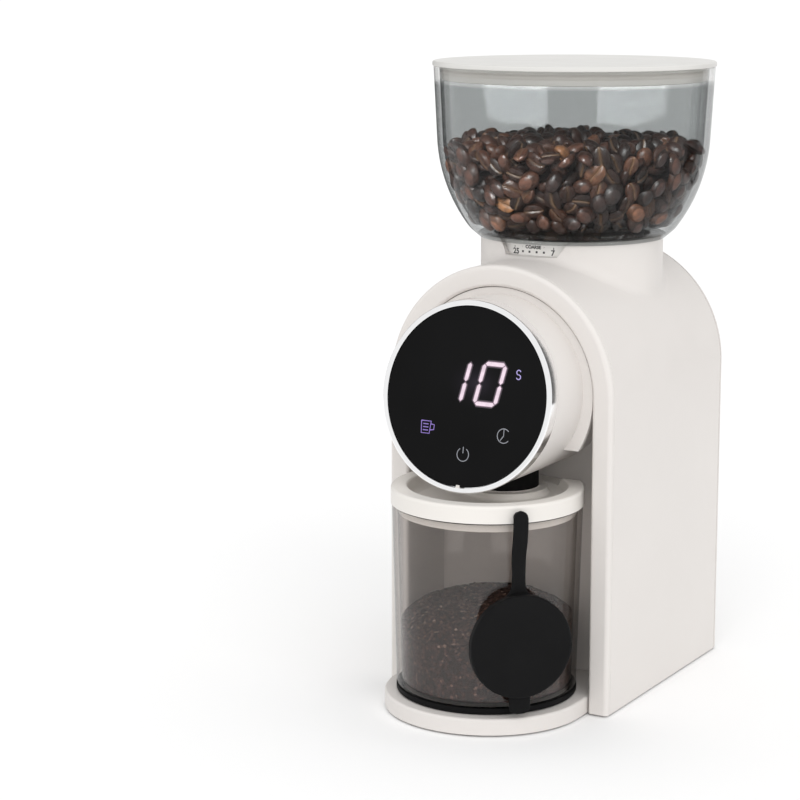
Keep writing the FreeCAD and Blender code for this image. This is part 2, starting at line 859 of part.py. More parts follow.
# ---------------------------------------------------------------- jar
def make_jar():
    """Clear jar, its soft foot ring and the gasket under its lid."""
    jar = new_body("jar_body")
    inner_foot = "jar_foot_radius - jar_wall"
    turn(jar, [
        ("0", "jar_foot"),
        ("jar_foot_radius - jar_bevel", "jar_foot"),
        ("jar_foot_radius", "jar_foot + jar_bevel"),
        ("jar_top_radius", "jar_top"),
        ("jar_top_radius - jar_wall", "jar_top"),
        (inner_foot, "jar_foot + jar_floor + jar_fillet", "jar_fillet"),
        (inner_foot + " - jar_fillet", "jar_foot + jar_floor"),
        ("0", "jar_foot + jar_floor"),
    ], "jar_y")
    ring = new_body("jar_foot_ring")
    turn(ring, [
        ("0", "jar_ring_foot"),
        ("jar_foot_radius - margin", "jar_ring_foot"),
        ("jar_foot_radius + margin", "jar_ring_foot + 2*margin"),
        ("jar_foot_radius + margin", "jar_foot - margin"),
        ("jar_foot_radius", "jar_foot"),
        ("0", "jar_foot"),
    ], "jar_y")
    gasket = new_body("jar_gasket")
    turn(gasket, [
        ("lid_skirt", "jar_top"),
        ("jar_top_radius - 0.2", "jar_top"),
        ("jar_top_radius - 0.2", "lid_foot"),
        ("lid_skirt", "lid_foot"),
    ], "jar_y")


def make_jar_lid():
    """Dished lid with a raised rim, and a neck set back under the drum's outlet."""
    body = new_body("jar_lid")
    turn(body, [
        ("0", "lid_under"),
        ("lid_skirt - lid_wall", "lid_under"),
        ("lid_skirt - lid_wall", "lid_skirt_foot"),
        ("lid_skirt", "lid_skirt_foot"),
        ("lid_skirt", "lid_foot"),
        ("lid_radius", "lid_foot"),
        ("lid_radius", "lid_top - lid_edge", "lid_edge"),
        ("lid_radius - lid_edge", "lid_top"),
        ("lid_rim + 1", "lid_top", "1.2"),
        ("lid_rim", "lid_top - 1"),
        ("lid_rim - 0.8", "lid_dish + 3", "- 4"),
        ("lid_rim - 3.6", "lid_dish"),
        ("0", "lid_dish"),
    ], "jar_y")
    neck = new_sketch(body, "XY_Plane", offset_z="lid_under")
    draw_circle(neck, "0", "chute_y", "lid_neck")
    pad_up(body, neck, "lid_lip - lid_under")
    round_edges(body, "lid_blend",
                lambda e: flat_at(e, "Z", "lid_dish") and e.BoundBox.XMax < value("lid_neck + over"))
    low_back = new_sketch(body, "XY_Plane", offset_z="lid_lip")
    draw_box(low_back, "- lid_radius - over", "lid_cut_y", "lid_radius + over", "lid_cut_y + lid_radius")
    pocket_up(body, low_back, "lid_top - lid_lip + over")
    hole = new_sketch(body, "XY_Plane", offset_z="lid_top")
    draw_circle(hole, "0", "chute_y", "lid_hole")
    pocket_down(body, hole, "lid_top - lid_under + over")


def make_stopper():
    """Silicone stopper: round cap with a stub behind, its strap, a pull tab and the peg.

    It is made hanging straight in front of the jar and then turned round the jar's axis.
    """
    body = new_body("dust_stopper")
    side = new_sketch(body, "YZ_Plane", offset_z="- strap_half")
    outer = "- strap_inner - strap_thick"
    draw_outline(side, [
        (outer, "strap_top"),
        ("- strap_inner", "strap_top"),
        ("- strap_inner", "- strap_bend"),
        ("- stopper_face", "- stopper_drop"),
        ("- stopper_face - strap_thick", "- stopper_drop"),
        (outer, "- strap_bend"),
    ])
    pad_up(body, side, "2*strap_half")
    disc = new_sketch(body, "XZ_Plane", offset_z="- stopper_face - stopper_thick")
    draw_circle(disc, "0", "- stopper_drop", "stopper_radius")
    pad_back(body, disc, "stopper_thick")
    round_edges(body, "stopper_edge", lambda e: flat_at(e, "Y", "- stopper_face - stopper_thick"))
    stub = new_sketch(body, "XZ_Plane", offset_z="- stopper_face - 1")
    draw_circle(stub, "0", "- stopper_drop", "stopper_stub")
    pad_back(body, stub, "stopper_face + 1 - stub_face")
    tab = new_sketch(body, "XZ_Plane", offset_z="- stopper_face - margin - tab_thick")
    draw_box(tab, "- tab_half", "- tab_drop", "tab_half", "- stopper_drop")
    pad_back(body, tab, "tab_thick")
    peg = new_sketch(body, "XZ_Plane", offset_z="- strap_inner - 1")
    draw_circle(peg, "0", "0", "peg_radius")
    pad_back(body, peg, "peg_long")

    def level_at(edge, height):
        box = edge.BoundBox
        return abs(box.ZMax - height) < 0.01 and abs(box.ZMin - height) < 0.01 and box.XMax - box.XMin < 0.01

    round_edges(body, "strap_half - 0.1", lambda e: level_at(e, value("strap_top")))
    round_edges(body, "tab_round", lambda e: level_at(e, value("- tab_drop")))
    body.Placement.Rotation = FreeCAD.Rotation(Vector(0, 0, 1), STOPPER_ANGLE)
    place(body, "0", "jar_y", "peg_z")


# ---------------------------------------------------------------- hopper
def make_hopper():
    """Clear bean hopper: tapered wall, round bowl and a neck that drops into the dial."""
    body = new_body("hopper")
    turn(body, [
        ("neck_radius", "neck_foot"),
        ("neck_radius", "hopper_floor"),
        ("hopper_heel", "hopper_floor", "5"),
        ("hopper_hip", "hopper_hip_z", "hopper_curve"),
        ("hopper_waist", "hopper_waist_z"),
        ("hopper_radius", "hopper_top"),
        ("hopper_radius - hopper_wall", "hopper_top"),
        ("hopper_waist - hopper_wall", "hopper_waist_z", "hopper_wall - hopper_curve"),
        ("hopper_hip - 1.7", "hopper_hip_z + 2.4"),
        ("neck_bore", "hopper_floor + 1.6"),
        ("neck_bore", "neck_foot"),
    ], "hopper_y")


def make_hopper_lid():
    """Flat cap with a skirt inside the hopper's mouth, and the seal round the skirt."""
    body = new_body("hopper_lid")
    turn(body, [
        ("0", "cap_foot"),
        ("cap_skirt - cap_wall", "cap_foot"),
        ("cap_skirt - cap_wall", "cap_skirt_foot"),
        ("cap_skirt - margin", "cap_skirt_foot"),
        ("cap_skirt", "cap_foot"),
        ("cap_radius", "cap_foot"),
        ("cap_radius", "cap_top - cap_edge", "cap_edge"),
        ("cap_radius - cap_edge", "cap_top"),
        ("0", "cap_top"),
    ], "hopper_y")
    seal = new_body("hopper_seal")
    turn(seal, [
        ("cap_skirt", "cap_foot - 4"),
        ("cap_skirt + 0.35", "cap_foot - 3.2"),
        ("cap_skirt + 0.35", "cap_foot - 2.4"),
        ("cap_skirt", "cap_foot - 1.6"),
    ], "hopper_y")


# ---------------------------------------------------------------- burrs and their chamber
def make_dial():
    """Adjusting ring: it turns in the collar, carries the scale and seats the hopper."""
    body = new_body("adjusting_ring")
    turn(body, [
        ("dial_ledge", "dial_foot"),
        ("dial_radius", "dial_foot"),
        ("dial_radius", "dial_top"),
        ("dial_bore", "dial_top"),
        ("dial_bore", "dial_foot + ledge_thick"),
        ("dial_ledge", "dial_foot + ledge_thick"),
    ], "hopper_y")


def make_chamber():
    """Cup under the burrs, with a bearing boss below and a port for the grounds in front."""
    body = new_body("burr_chamber")
    seat_top = "boss_foot + 1 + bearing_height + 0.2"
    turn(body, [
        ("boss_mouth", "boss_foot"),
        ("chamber_boss", "boss_foot"),
        ("chamber_boss", "chamber_foot"),
        ("chamber_radius", "chamber_foot"),
        ("chamber_radius", "chamber_top"),
        ("chamber_bore", "chamber_top"),
        ("chamber_bore", "chamber_floor"),
        ("shaft_hole", "chamber_floor"),
        ("shaft_hole", seat_top),
        ("bearing_seat", seat_top),
        ("bearing_seat", "boss_foot + 1"),
        ("boss_mouth", "boss_foot + 1"),
    ], "hopper_y")
    port = new_sketch(body, "XZ_Plane", offset_z="hopper_y - chamber_radius - over")
    draw_box(port, "duct_wall - duct_half", "duct_low + duct_wall",
             "duct_half - duct_wall", "duct_high - duct_wall")
    pocket_back(body, port, "0.4*chamber_radius + over")


def make_carrier():
    """Carrier that the dial raises and lowers, and the grooved ring burr pressed into it."""
    body = new_body("burr_carrier")
    turn(body, [
        ("burr_radius + 0.1", "carrier_foot"),
        ("carrier_radius", "carrier_foot"),
        ("carrier_radius", "carrier_top"),
        ("burr_radius - 1.5", "burr_top + 0.1"),
        ("burr_radius + 0.1", "burr_top + 0.1"),
    ], "hopper_y")
    burr = new_body("ring_burr")
    turn(burr, [
        ("burr_bore", "burr_foot"),
        ("burr_radius", "burr_foot"),
        ("burr_radius", "burr_top"),
        ("burr_mouth", "burr_top"),
        ("burr_throat", "burr_foot + burr_step"),
    ], "hopper_y")
    teeth = new_sketch(burr, "XY_Plane", offset_y="hopper_y", offset_z="burr_foot - 1")
    draw_outline(teeth, [("15", "- 1.1"), ("20.2", "0"), ("15", "1.1")])
    groove = pocket_up(burr, teeth, "burr_top - burr_foot + 2")
    ring_pattern(burr, groove, teeth, RING_BURR_GROOVES)


def ring_pattern(body, feature, sketch, count):
    """Repeat a feature round the vertical axis through its sketch's origin."""
    doc.recompute()
    pattern = body.newObject("PartDesign::PolarPattern", "PolarPattern")
    pattern.Originals = [feature]
    pattern.Axis = (sketch, ["N_Axis"])
    pattern.Angle = 360
    pattern.Occurrences = count
    body.Tip = pattern


def make_cone_burr():
    """Steel cone with straight cutting grooves round its foot."""
    body = new_body("cone_burr")
    bore = "shaft_radius + shaft_fit"
    turn(body, [
        (bore, "cone_foot"),
        ("cone_radius - 1", "cone_foot"),
        ("cone_radius", "cone_foot + 1"),
        ("cone_tip", "cone_top"),
        (bore, "cone_top"),
    ], "hopper_y")
    teeth = new_sketch(body, "XY_Plane", offset_y="hopper_y", offset_z="cone_foot - 1")
    draw_outline(teeth, [("cone_radius + 1", "- 1.3"), ("cone_radius + 1", "1.3"), ("cone_groove", "0")])
    groove = pocket_up(body, teeth, "cone_top - cone_foot + 2")
    ring_pattern(body, groove, teeth, CONE_BURR_GROOVES)


def make_burr_shaft():
    """Vertical shaft with the nut that clamps the cone, and the impeller under it."""
    bore = "shaft_radius + shaft_fit"
    keep(rod("shaft_radius", "shaft_top - shaft_foot", "0", "hopper_y", "shaft_foot"), "burr_shaft")
    nut = doc.addObject("Part::Prism", "Prism")
    nut.Polygon = 6
    bind(nut, Circumradius="nut_radius", Height="nut_tall")
    place(nut, "0", "hopper_y", "cone_top")
    keep(cut(nut, rod(bore, "nut_tall + over", "0", "hopper_y", "cone_top - 1")), "cone_nut")
    hub = rod("impeller_hub", "cone_foot - impeller_foot", "0", "hopper_y", "impeller_foot")
    plate = rod("impeller_radius", "impeller_plate - impeller_foot", "0", "hopper_y", "impeller_foot")
    reach = "impeller_radius - margin"
    blade_low = "impeller_plate - 0.5"
    rise = "impeller_top " + minus(blade_low)
    across = block(minus(reach), "hopper_y - blade_half", blade_low, times(reach, "2"), "2*blade_half", rise)
    along = block("- blade_half", "hopper_y " + minus(reach), blade_low,
                  "2*blade_half", times(reach, "2"), rise)
    hole = rod(bore, "cone_foot - impeller_foot + over", "0", "hopper_y", "impeller_foot - 1")
    keep(cut(fuse([hub, plate, across, along]), hole), "impeller")


def make_bearings():
    for label, foot in (("upper_bearing", "boss_foot + 1.1"), ("lower_bearing", "cover_top + 1.1")):
        keep(tube("bearing_radius", "bearing_bore", "bearing_height", "0", "hopper_y", foot), label)


# ---------------------------------------------------------------- gears
def involute_gear(teeth, module, height, bore, phase):
    """Spur gear of involute teeth about its own Z axis, its first tooth at the phase angle."""
    pitch = teeth * module / 2.0
    base = pitch * math.cos(PRESSURE)
    root = pitch - 1.25 * module
    tip = pitch + module
    half_tooth = math.pi / (2 * teeth) - BACKLASH / (2 * pitch)
    pitch_roll = math.tan(PRESSURE) - PRESSURE
    low = max(base, root) + 1e-4
    radii = [low + (tip - low) * step / FLANK_STEPS for step in range(FLANK_STEPS + 1)]

    def spread(radius):
        angle = math.acos(min(base / radius, 1.0))
        return half_tooth + pitch_roll - (math.tan(angle) - angle)

    def point(radius, angle):
        return Vector(radius * math.cos(angle), radius * math.sin(angle), 0)

    edges = []
    for tooth in range(teeth):
        centre = phase + 2 * math.pi * tooth / teeth
        rising = [point(r, centre - spread(r)) for r in radii]
        falling = [point(r, centre + spread(r)) for r in reversed(radii)]
        next_centre = centre + 2 * math.pi / teeth
        foot_in = point(root, centre - spread(radii[0]))
        foot_out = point(root, centre + spread(radii[0]))
        next_foot = point(root, next_centre - spread(radii[0]))
        if low - root > 1e-3:
            edges.append(Part.makeLine(foot_in, rising[0]))
        for curve in (rising, falling):
            spline = Part.BSplineCurve()
            spline.interpolate(curve)
            edges.append(spline.toShape())
            if curve is rising:
                edges.append(Part.Arc(rising[-1], point(tip, centre), falling[0]).toShape())
        start = falling[-1]
        if low - root > 1e-3:
            edges.append(Part.makeLine(falling[-1], foot_out))
            start = foot_out
        end = next_foot if low - root > 1e-3 else point(radii[0], next_centre - spread(radii[0]))
        edges.append(Part.makeLine(start, end))
    profile = Part.Face(Part.Wire(edges))
    solid = profile.extrude(Vector(0, 0, height))
    return solid.cut(Part.makeCylinder(bore, height + 2, Vector(0, 0, -1)))


def gear_part(label, shape, x, y, z):
    """Gear as a feature of its own, placed on its shaft."""
    feature = doc.addObject("Part::Feature", "Gear")
    feature.Shape = shape
    place(feature, x, y, z)
    return keep(feature, label)


def make_gears():
    """Motor pinion, two-step idler and the output gear under the burr shaft."""
    half_turn = math.pi
    pinion = involute_gear(PINION_TEETH, MODULE, PINION_WIDTH, value("motor_shaft + shaft_fit"), 0)
    gear_part("motor_pinion", pinion, "0", "hopper_y", "pinion_z")
    wheel = involute_gear(WHEEL_TEETH, MODULE, WHEEL_WIDTH, PIN_BORE, half_turn + math.pi / WHEEL_TEETH)
    small = involute_gear(SMALL_TEETH, MODULE, SMALL_WIDTH, PIN_BORE, half_turn + math.pi / SMALL_TEETH)
    small.translate(Vector(0, 0, WHEEL_WIDTH))
    gear_part("idler_gear", wheel.fuse(small), "gear_centres", "hopper_y", "wheel_z")
    output = involute_gear(OUTPUT_TEETH, MODULE, WHEEL_WIDTH, value("shaft_radius + shaft_fit"), 0)
    gear_part("output_gear", output, "0", "hopper_y", "output_z")
    pin = rod("pin_radius", "box_top - box_floor - margin", "gear_centres", "hopper_y", "box_floor")
    keep(pin, "idler_pin")


# ---------------------------------------------------------------- gearbox, motor and frame
def draw_box_outline(sketch, radius):
    """Long-round outline of the gearbox, round both gear centres."""
    draw_outline(sketch, [
        ("0", "hopper_y " + minus(radius)),
        ("gear_centres", "hopper_y " + minus(radius), radius),
        ("gear_centres + " + radius, "hopper_y", radius),
        ("gear_centres", "hopper_y + " + radius),
        ("0", "hopper_y + " + radius, radius),
        (minus(radius), "hopper_y", radius),
    ])


def make_gearbox():
    """Open cup on a square flange, the cover that holds the lower bearing, and its posts."""
    box = new_body("gearbox_housing")
    flange = new_sketch(box, "XY_Plane", offset_z="box_foot")
    draw_box(flange, "- flange_left", "hopper_y - flange_half", "flange_right", "hopper_y + flange_half")
    pad_up(box, flange, "box_floor - box_foot")
    wall = new_sketch(box, "XY_Plane", offset_z="box_floor")
    draw_box_outline(wall, "box_radius")
    pad_up(box, wall, "box_top - box_floor")
    room = new_sketch(box, "XY_Plane", offset_z="box_top")
    draw_box_outline(room, "box_radius - box_wall")
    pocket_down(box, room, "box_top - box_floor")
    hole = new_sketch(box, "XY_Plane", offset_z="box_floor + 1")
    draw_circle(hole, "0", "hopper_y", "box_hole")
    pocket_down(box, hole, "box_floor - box_foot + over")

    cover = new_body("gearbox_cover")
    lid = new_sketch(cover, "XY_Plane", offset_z="box_top")
    draw_box_outline(lid, "box_radius")
    pad_up(cover, lid, "cover_top - box_top")
    boss = new_sketch(cover, "XY_Plane", offset_z="cover_top")
    draw_circle(boss, "0", "hopper_y", "chamber_boss")
    pad_up(cover, boss, "cover_boss - cover_top")
    seat = new_sketch(cover, "XY_Plane", offset_z="cover_boss")
    draw_circle(seat, "0", "hopper_y", "bearing_seat")
    pocket_down(cover, seat, "cover_boss - cover_top - 1")
    bore = new_sketch(cover, "XY_Plane", offset_z="cover_boss")
    draw_circle(bore, "0", "hopper_y", "shaft_hole")
    pocket_down(cover, bore, "cover_boss - box_top + 1")
    posts = [rod("post_radius", "chamber_foot - cover_top", x, y, "cover_top") for x, y in post_places()]
    keep(group(posts), "chamber_posts")


def post_places():
    """Three posts, one behind the other gear's side and one on each side of the idler."""
    side = "0.5*post_reach"
    return [("- post_reach", "hopper_y"), (side, "hopper_y - post_reach"), (side, "hopper_y + post_reach")]


def make_motor():
    """Motor can with its end boss, and the shaft that turns inside it."""
    can = new_body("motor_can")
    turn(can, [
        ("motor_bore", "motor_foot"),
        ("motor_boss", "motor_foot"),
        ("motor_boss", "motor_foot + boss_tall"),
        ("motor_radius - motor_bevel", "motor_foot + boss_tall"),
        ("motor_radius", "motor_foot + boss_tall + motor_bevel"),
        ("motor_radius", "motor_top"),
        ("motor_bore", "motor_top"),
    ], "hopper_y")
    shaft_low = "motor_foot + 1"
    keep(rod("motor_shaft", "motor_shaft_top " + minus(shaft_low), "0", "hopper_y", shaft_low), "motor_shaft")


def make_motor_frame():
    """Bracket with four legs on the floor, and the rubber dampers under the gearbox."""
    plate = block("- flange_left", "hopper_y - flange_half", "frame_low", "2*flange_left", "2*flange_half",
                  "frame_high - frame_low")
    legs = []
    dampers = []
    for side in ("- ", ""):
        for way in (" - ", " + "):
            x = side + "damper_x"
            y = "hopper_y" + way + "damper_reach"
            legs.append(rod("frame_leg", "frame_low - floor_top + 0.5", x, y, "floor_top"))
            dampers.append(rod("damper_radius", "box_foot - frame_high", x, y, "frame_high"))
    hole = rod("frame_hole", "2*over", "0", "hopper_y", "frame_low - over")
    keep(cut(fuse([plate] + legs), hole), "motor_frame")
    keep(group(dampers), "motor_dampers")


def make_electrics():
    """Control board behind the motor, and the switch that senses the hopper."""
    board = block("- board_half", "board_y", "board_foot", "2*board_half", "board_thick", "board_tall")
    relay = block("- 0.9*board_half", "board_y + 0.2 - relay_deep", "relay_z",
                  "relay_wide", "relay_deep", "relay_tall")
    socket = block("- cable_x", "board_y + 0.2 - socket_deep", "socket_z",
                   "cable_wide", "socket_deep", "socket_tall")
    cans = [rod("cap_can", "cap_can_long", x, "board_y + 0.2 - cap_can_long", "cap_can_z", "y")
            for x in ("0.4*board_half", "0.8*board_half")]
    keep(fuse([board, relay, socket] + cans), "control_board")
    switch = block("- switch_x", "hopper_y - switch_half", "switch_z",
                   "switch_wide", "2*switch_half", "switch_tall")
    keep(switch, "hopper_switch")


# ---------------------------------------------------------------- build, check and write
def check_document():
    """Stop if a feature failed, or if a sub-part isn't a sound solid."""
    doc.recompute()
    for item in doc.Objects:
        if "Invalid" in item.State or "Error" in item.State:
            raise RuntimeError("%s (%s) failed: %s" % (item.Name, item.Label, item.State))
    for item in sub_parts:
        shape = item.Shape
        if shape.isNull() or not shape.isValid() or not shape.Solids:
            raise RuntimeError("%s isn't a sound solid" % item.Label)


def write_parts():
    os.makedirs("parts", exist_ok=True)
    for item in sub_parts:
        item.Shape.exportStep("parts/%s.step" % item.Label)


make_outer_shell()
make_front_frame()
make_rear_cover()
make_base_plate()
make_feet()
make_rear_screws()
make_cord_gland()
make_drum()
make_bezel()
make_glass()
make_display_board()
make_display_cable()
make_chute()
make_jar()
make_jar_lid()
make_stopper()
make_hopper()
make_hopper_lid()
make_dial()
make_chamber()
make_carrier()
make_cone_burr()
make_burr_shaft()
make_bearings()
make_gears()
make_gearbox()
make_motor()
make_motor_frame()
make_electrics()
check_document()
write_parts()
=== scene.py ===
import math

import bmesh
import bpy
import numpy as np
from mathutils import Matrix, Vector, noise


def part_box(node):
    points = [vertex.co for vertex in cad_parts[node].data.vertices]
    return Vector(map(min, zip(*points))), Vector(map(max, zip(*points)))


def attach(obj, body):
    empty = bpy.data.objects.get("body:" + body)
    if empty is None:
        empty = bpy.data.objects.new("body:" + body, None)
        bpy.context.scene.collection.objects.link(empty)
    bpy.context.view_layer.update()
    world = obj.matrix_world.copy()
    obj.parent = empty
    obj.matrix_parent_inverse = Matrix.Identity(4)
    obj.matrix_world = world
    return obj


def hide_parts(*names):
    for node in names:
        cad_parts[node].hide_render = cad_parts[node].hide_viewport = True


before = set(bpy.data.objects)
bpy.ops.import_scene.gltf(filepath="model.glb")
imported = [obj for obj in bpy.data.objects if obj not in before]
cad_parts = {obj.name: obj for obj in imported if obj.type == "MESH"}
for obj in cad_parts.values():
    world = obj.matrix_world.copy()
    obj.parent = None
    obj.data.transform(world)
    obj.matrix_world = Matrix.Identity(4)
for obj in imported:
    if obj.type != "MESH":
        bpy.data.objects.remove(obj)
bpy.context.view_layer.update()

MM = 0.001
TINY = 1e-7
TILT = math.radians(9.5)          # how far the display leans back
STOPPER_ANGLE = math.radians(46)  # where the stopper hangs, from the front towards +X


# ---------------------------------------------------------------- places read from the parts in model.glb
def middle(node):
    """Centre of a node's box in the plane of the table."""
    low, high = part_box(node)
    return (low.x + high.x) / 2, (low.y + high.y) / 2


HOPPER_Y = middle("hopper")[1]
HOPPER_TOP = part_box("hopper")[1].z
CAP_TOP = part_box("hopper_lid")[1].z
JAR_Y = middle("jar_body")[1]
JAR_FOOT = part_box("jar_body")[0].z
JAR_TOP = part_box("jar_body")[1].z
BEZEL_LOW, BEZEL_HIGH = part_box("display_bezel")
DRUM_Z = (BEZEL_LOW.z + BEZEL_HIGH.z) / 2
BEZEL_RADIUS = (BEZEL_HIGH.x - BEZEL_LOW.x) / 2
DISPLAY_Y = BEZEL_LOW.y + BEZEL_RADIUS * math.tan(TILT)
DIAL_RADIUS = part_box("adjusting_ring")[1].x
DIAL_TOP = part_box("adjusting_ring")[1].z
PEG_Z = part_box("dust_stopper")[1].z - 3.5 * MM
BACK_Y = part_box("rear_cover")[1].y


# ---------------------------------------------------------------- node materials
def put(tree, kind, sockets=(), **settings):
    """Adds one shader node; sockets are values or the outputs that feed them."""
    made = tree.nodes.new("ShaderNode" + kind)
    for key, value in settings.items():
        setattr(made, key, value)
    for key, value in dict(sockets).items():
        if isinstance(value, bpy.types.NodeSocket):
            tree.links.new(value, made.inputs[key])
        else:
            made.inputs[key].default_value = value
    return made


def new_tree(name):
    material = bpy.data.materials.new(name)
    material.use_nodes = True
    material.node_tree.nodes.clear()
    return material, material.node_tree


def finish_tree(tree, shader):
    put(tree, "OutputMaterial", {"Surface": shader})


def where(tree, stretch=(1, 1, 1)):
    """The piece's own coordinates, stretched along its axes."""
    place = put(tree, "TexCoord").outputs["Object"]
    return put(tree, "Mapping", {"Vector": place, "Scale": stretch}).outputs["Vector"]


def grain(tree, scale, detail=3.0, stretch=(1, 1, 1), rough=0.5):
    sockets = {"Vector": where(tree, stretch), "Scale": scale, "Detail": detail, "Roughness": rough}
    return put(tree, "TexNoise", sockets).outputs["Fac"]


def spread(tree, source, low, high, start=0.3, end=0.7):
    """Maps a texture's middle range to low ... high."""
    sockets = {"Value": source, "From Min": start, "From Max": end, "To Min": low, "To Max": high}
    return put(tree, "MapRange", sockets).outputs["Result"]


def ramp(tree, source, stops):
    made = put(tree, "ValToRGB", {"Fac": source})
    band = made.color_ramp
    band.elements[0].position = stops[0][0]
    band.elements[0].color = (*stops[0][1], 1)
    band.elements[1].position = stops[-1][0]
    band.elements[1].color = (*stops[-1][1], 1)
    for place, colour in stops[1:-1]:
        band.elements.new(place).color = (*colour, 1)
    return made.outputs["Color"]


def tones(colour, change):
    return [(0.35, tuple(c * (1 - change) for c in colour)), (0.65, tuple(c * (1 + change) for c in colour))]


def bump(tree, height, strength, distance=0.2 * MM):
    return put(tree, "Bump", {"Height": height, "Strength": strength, "Distance": distance}).outputs["Normal"]


def moulded(name, colour, rough, size=2200.0, relief=0.12, change=0.015, stretch=(1, 1, 1), **extra):
    """A finish with a slow drift of colour, uneven gloss and a fine grain."""
    material, tree = new_tree(name)
    drift = grain(tree, 14, 4)
    fine = grain(tree, size, 3, stretch)
    gloss = spread(tree, grain(tree, 60, 4, stretch), rough * 0.88, rough * 1.12)
    sockets = {
        "Base Color": ramp(tree, drift, tones(colour, change)),
        "Roughness": gloss,
        "Normal": bump(tree, fine, relief),
    }
    sockets.update({key.replace("_", " "): value for key, value in extra.items()})
    finish_tree(tree, put(tree, "BsdfPrincipled", sockets).outputs["BSDF"])
    return material


def clear_plastic(name, through, edge, mirrored, rim=None, gloss=0.035):
    """Smoked clear moulding: light passes tinted, less of it near the outline, and the faces mirror.

    rim is the height above which the wall is paler, with its colour there: painted light, so that what lies behind the
    band shows brighter.
    """
    material, tree = new_tree(name)
    facing = put(tree, "LayerWeight", {"Blend": 0.5}).outputs["Facing"]
    tint = ramp(tree, facing, [(0.0, through), (0.62, through), (1.0, edge)])
    # Painted light: above the rim height the wall passes more light.
    if rim:
        height = put(tree, "SeparateXYZ", {"Vector": where(tree)}).outputs["Z"]
        upper = spread(tree, height, 0.0, 1.0, rim[0], rim[0] + 1.5 * MM)
        tint = put(tree, "Mix", {"Factor": upper, 6: tint, 7: (*rim[1], 1)}, data_type="RGBA").outputs[2]
    passed = put(tree, "BsdfTransparent", {"Color": tint}).outputs["BSDF"]
    waves = bump(tree, grain(tree, 35, 2), 0.05, 0.4 * MM)
    rough = spread(tree, grain(tree, 90, 3), gloss * 0.8, gloss * 1.4)
    mirror = put(tree, "BsdfGlossy", {"Roughness": rough, "Normal": waves}).outputs["BSDF"]
    steep = put(tree, "Math", {0: facing, 1: 5.0}, operation="POWER").outputs["Value"]
    share = spread(tree, steep, mirrored, 0.85, 0.0, 1.0)
    finish_tree(tree, put(tree, "MixShader", {0: share, 1: passed, 2: mirror}).outputs["Shader"])
    return material


def glowing(name, colour, strength):
    """Lit print under the glass, a little uneven like a diffuser over its lamps."""
    material, tree = new_tree(name)
    light = ramp(tree, grain(tree, 320, 2), tones(colour, 0.10))
    sockets = {"Base Color": (0.01, 0.01, 0.01, 1), "Roughness": 0.5,
               "Emission Color": light, "Emission Strength": strength}
    finish_tree(tree, put(tree, "BsdfPrincipled", sockets).outputs["BSDF"])
    return material


def circuit_finish():
    """Green solder mask with traces."""
    material, tree = new_tree("circuit")
    sockets = {"Vector": where(tree), "Scale": 260.0}
    lines = put(tree, "TexBrick", sockets).outputs["Fac"]
    colour = ramp(tree, lines, [(0.0, (0.02, 0.13, 0.06)), (1.0, (0.05, 0.24, 0.12))])
    rough = spread(tree, grain(tree, 300, 2), 0.3, 0.45)
    normal = bump(tree, lines, 0.2, 0.05 * MM)
    sockets = {"Base Color": colour, "Roughness": rough, "Normal": normal}
    finish_tree(tree, put(tree, "BsdfPrincipled", sockets).outputs["BSDF"])
    return material


def bean_finish():
    """Roasted coffee: each bean has its own tone, a pale crease and an oily, finely wrinkled skin."""
    material, tree = new_tree("roasted_bean")
    data = put(tree, "Attribute", attribute_name="bean").outputs["Color"]
    split = put(tree, "SeparateColor", {"Color": data})
    roast = [(0.0, (0.014, 0.006, 0.004)), (0.35, (0.034, 0.013, 0.009)), (0.65, (0.066, 0.026, 0.016)),
             (0.90, (0.115, 0.046, 0.027)), (0.98, (0.20, 0.085, 0.045)), (1.0, (0.46, 0.21, 0.09))]
    skin = ramp(tree, split.outputs["Red"], roast)
    blotch = ramp(tree, grain(tree, 420, 4), [(0.3, (0.55, 0.55, 0.55)), (0.7, (1.35, 1.3, 1.25))])
    mixed = put(tree, "Mix", {"Factor": 1.0, 6: skin, 7: blotch}, data_type="RGBA", blend_type="MULTIPLY")
    crease = put(tree, "Mix", {"Factor": split.outputs["Green"], 6: mixed.outputs[2], 7: (0.34, 0.20, 0.11, 1)},
                 data_type="RGBA")
    rough = spread(tree, split.outputs["Blue"], 0.30, 0.50, 0.0, 1.0)
    normal = bump(tree, grain(tree, 620, 5, (1, 1, 1), 0.62), 0.5, 0.5 * MM)
    sockets = {"Base Color": crease.outputs[2], "Roughness": rough, "Normal": normal,
               "Specular IOR Level": 0.75, "Coat Weight": 0.12, "Coat Roughness": 0.22}
    finish_tree(tree, put(tree, "BsdfPrincipled", sockets).outputs["BSDF"])
    return material


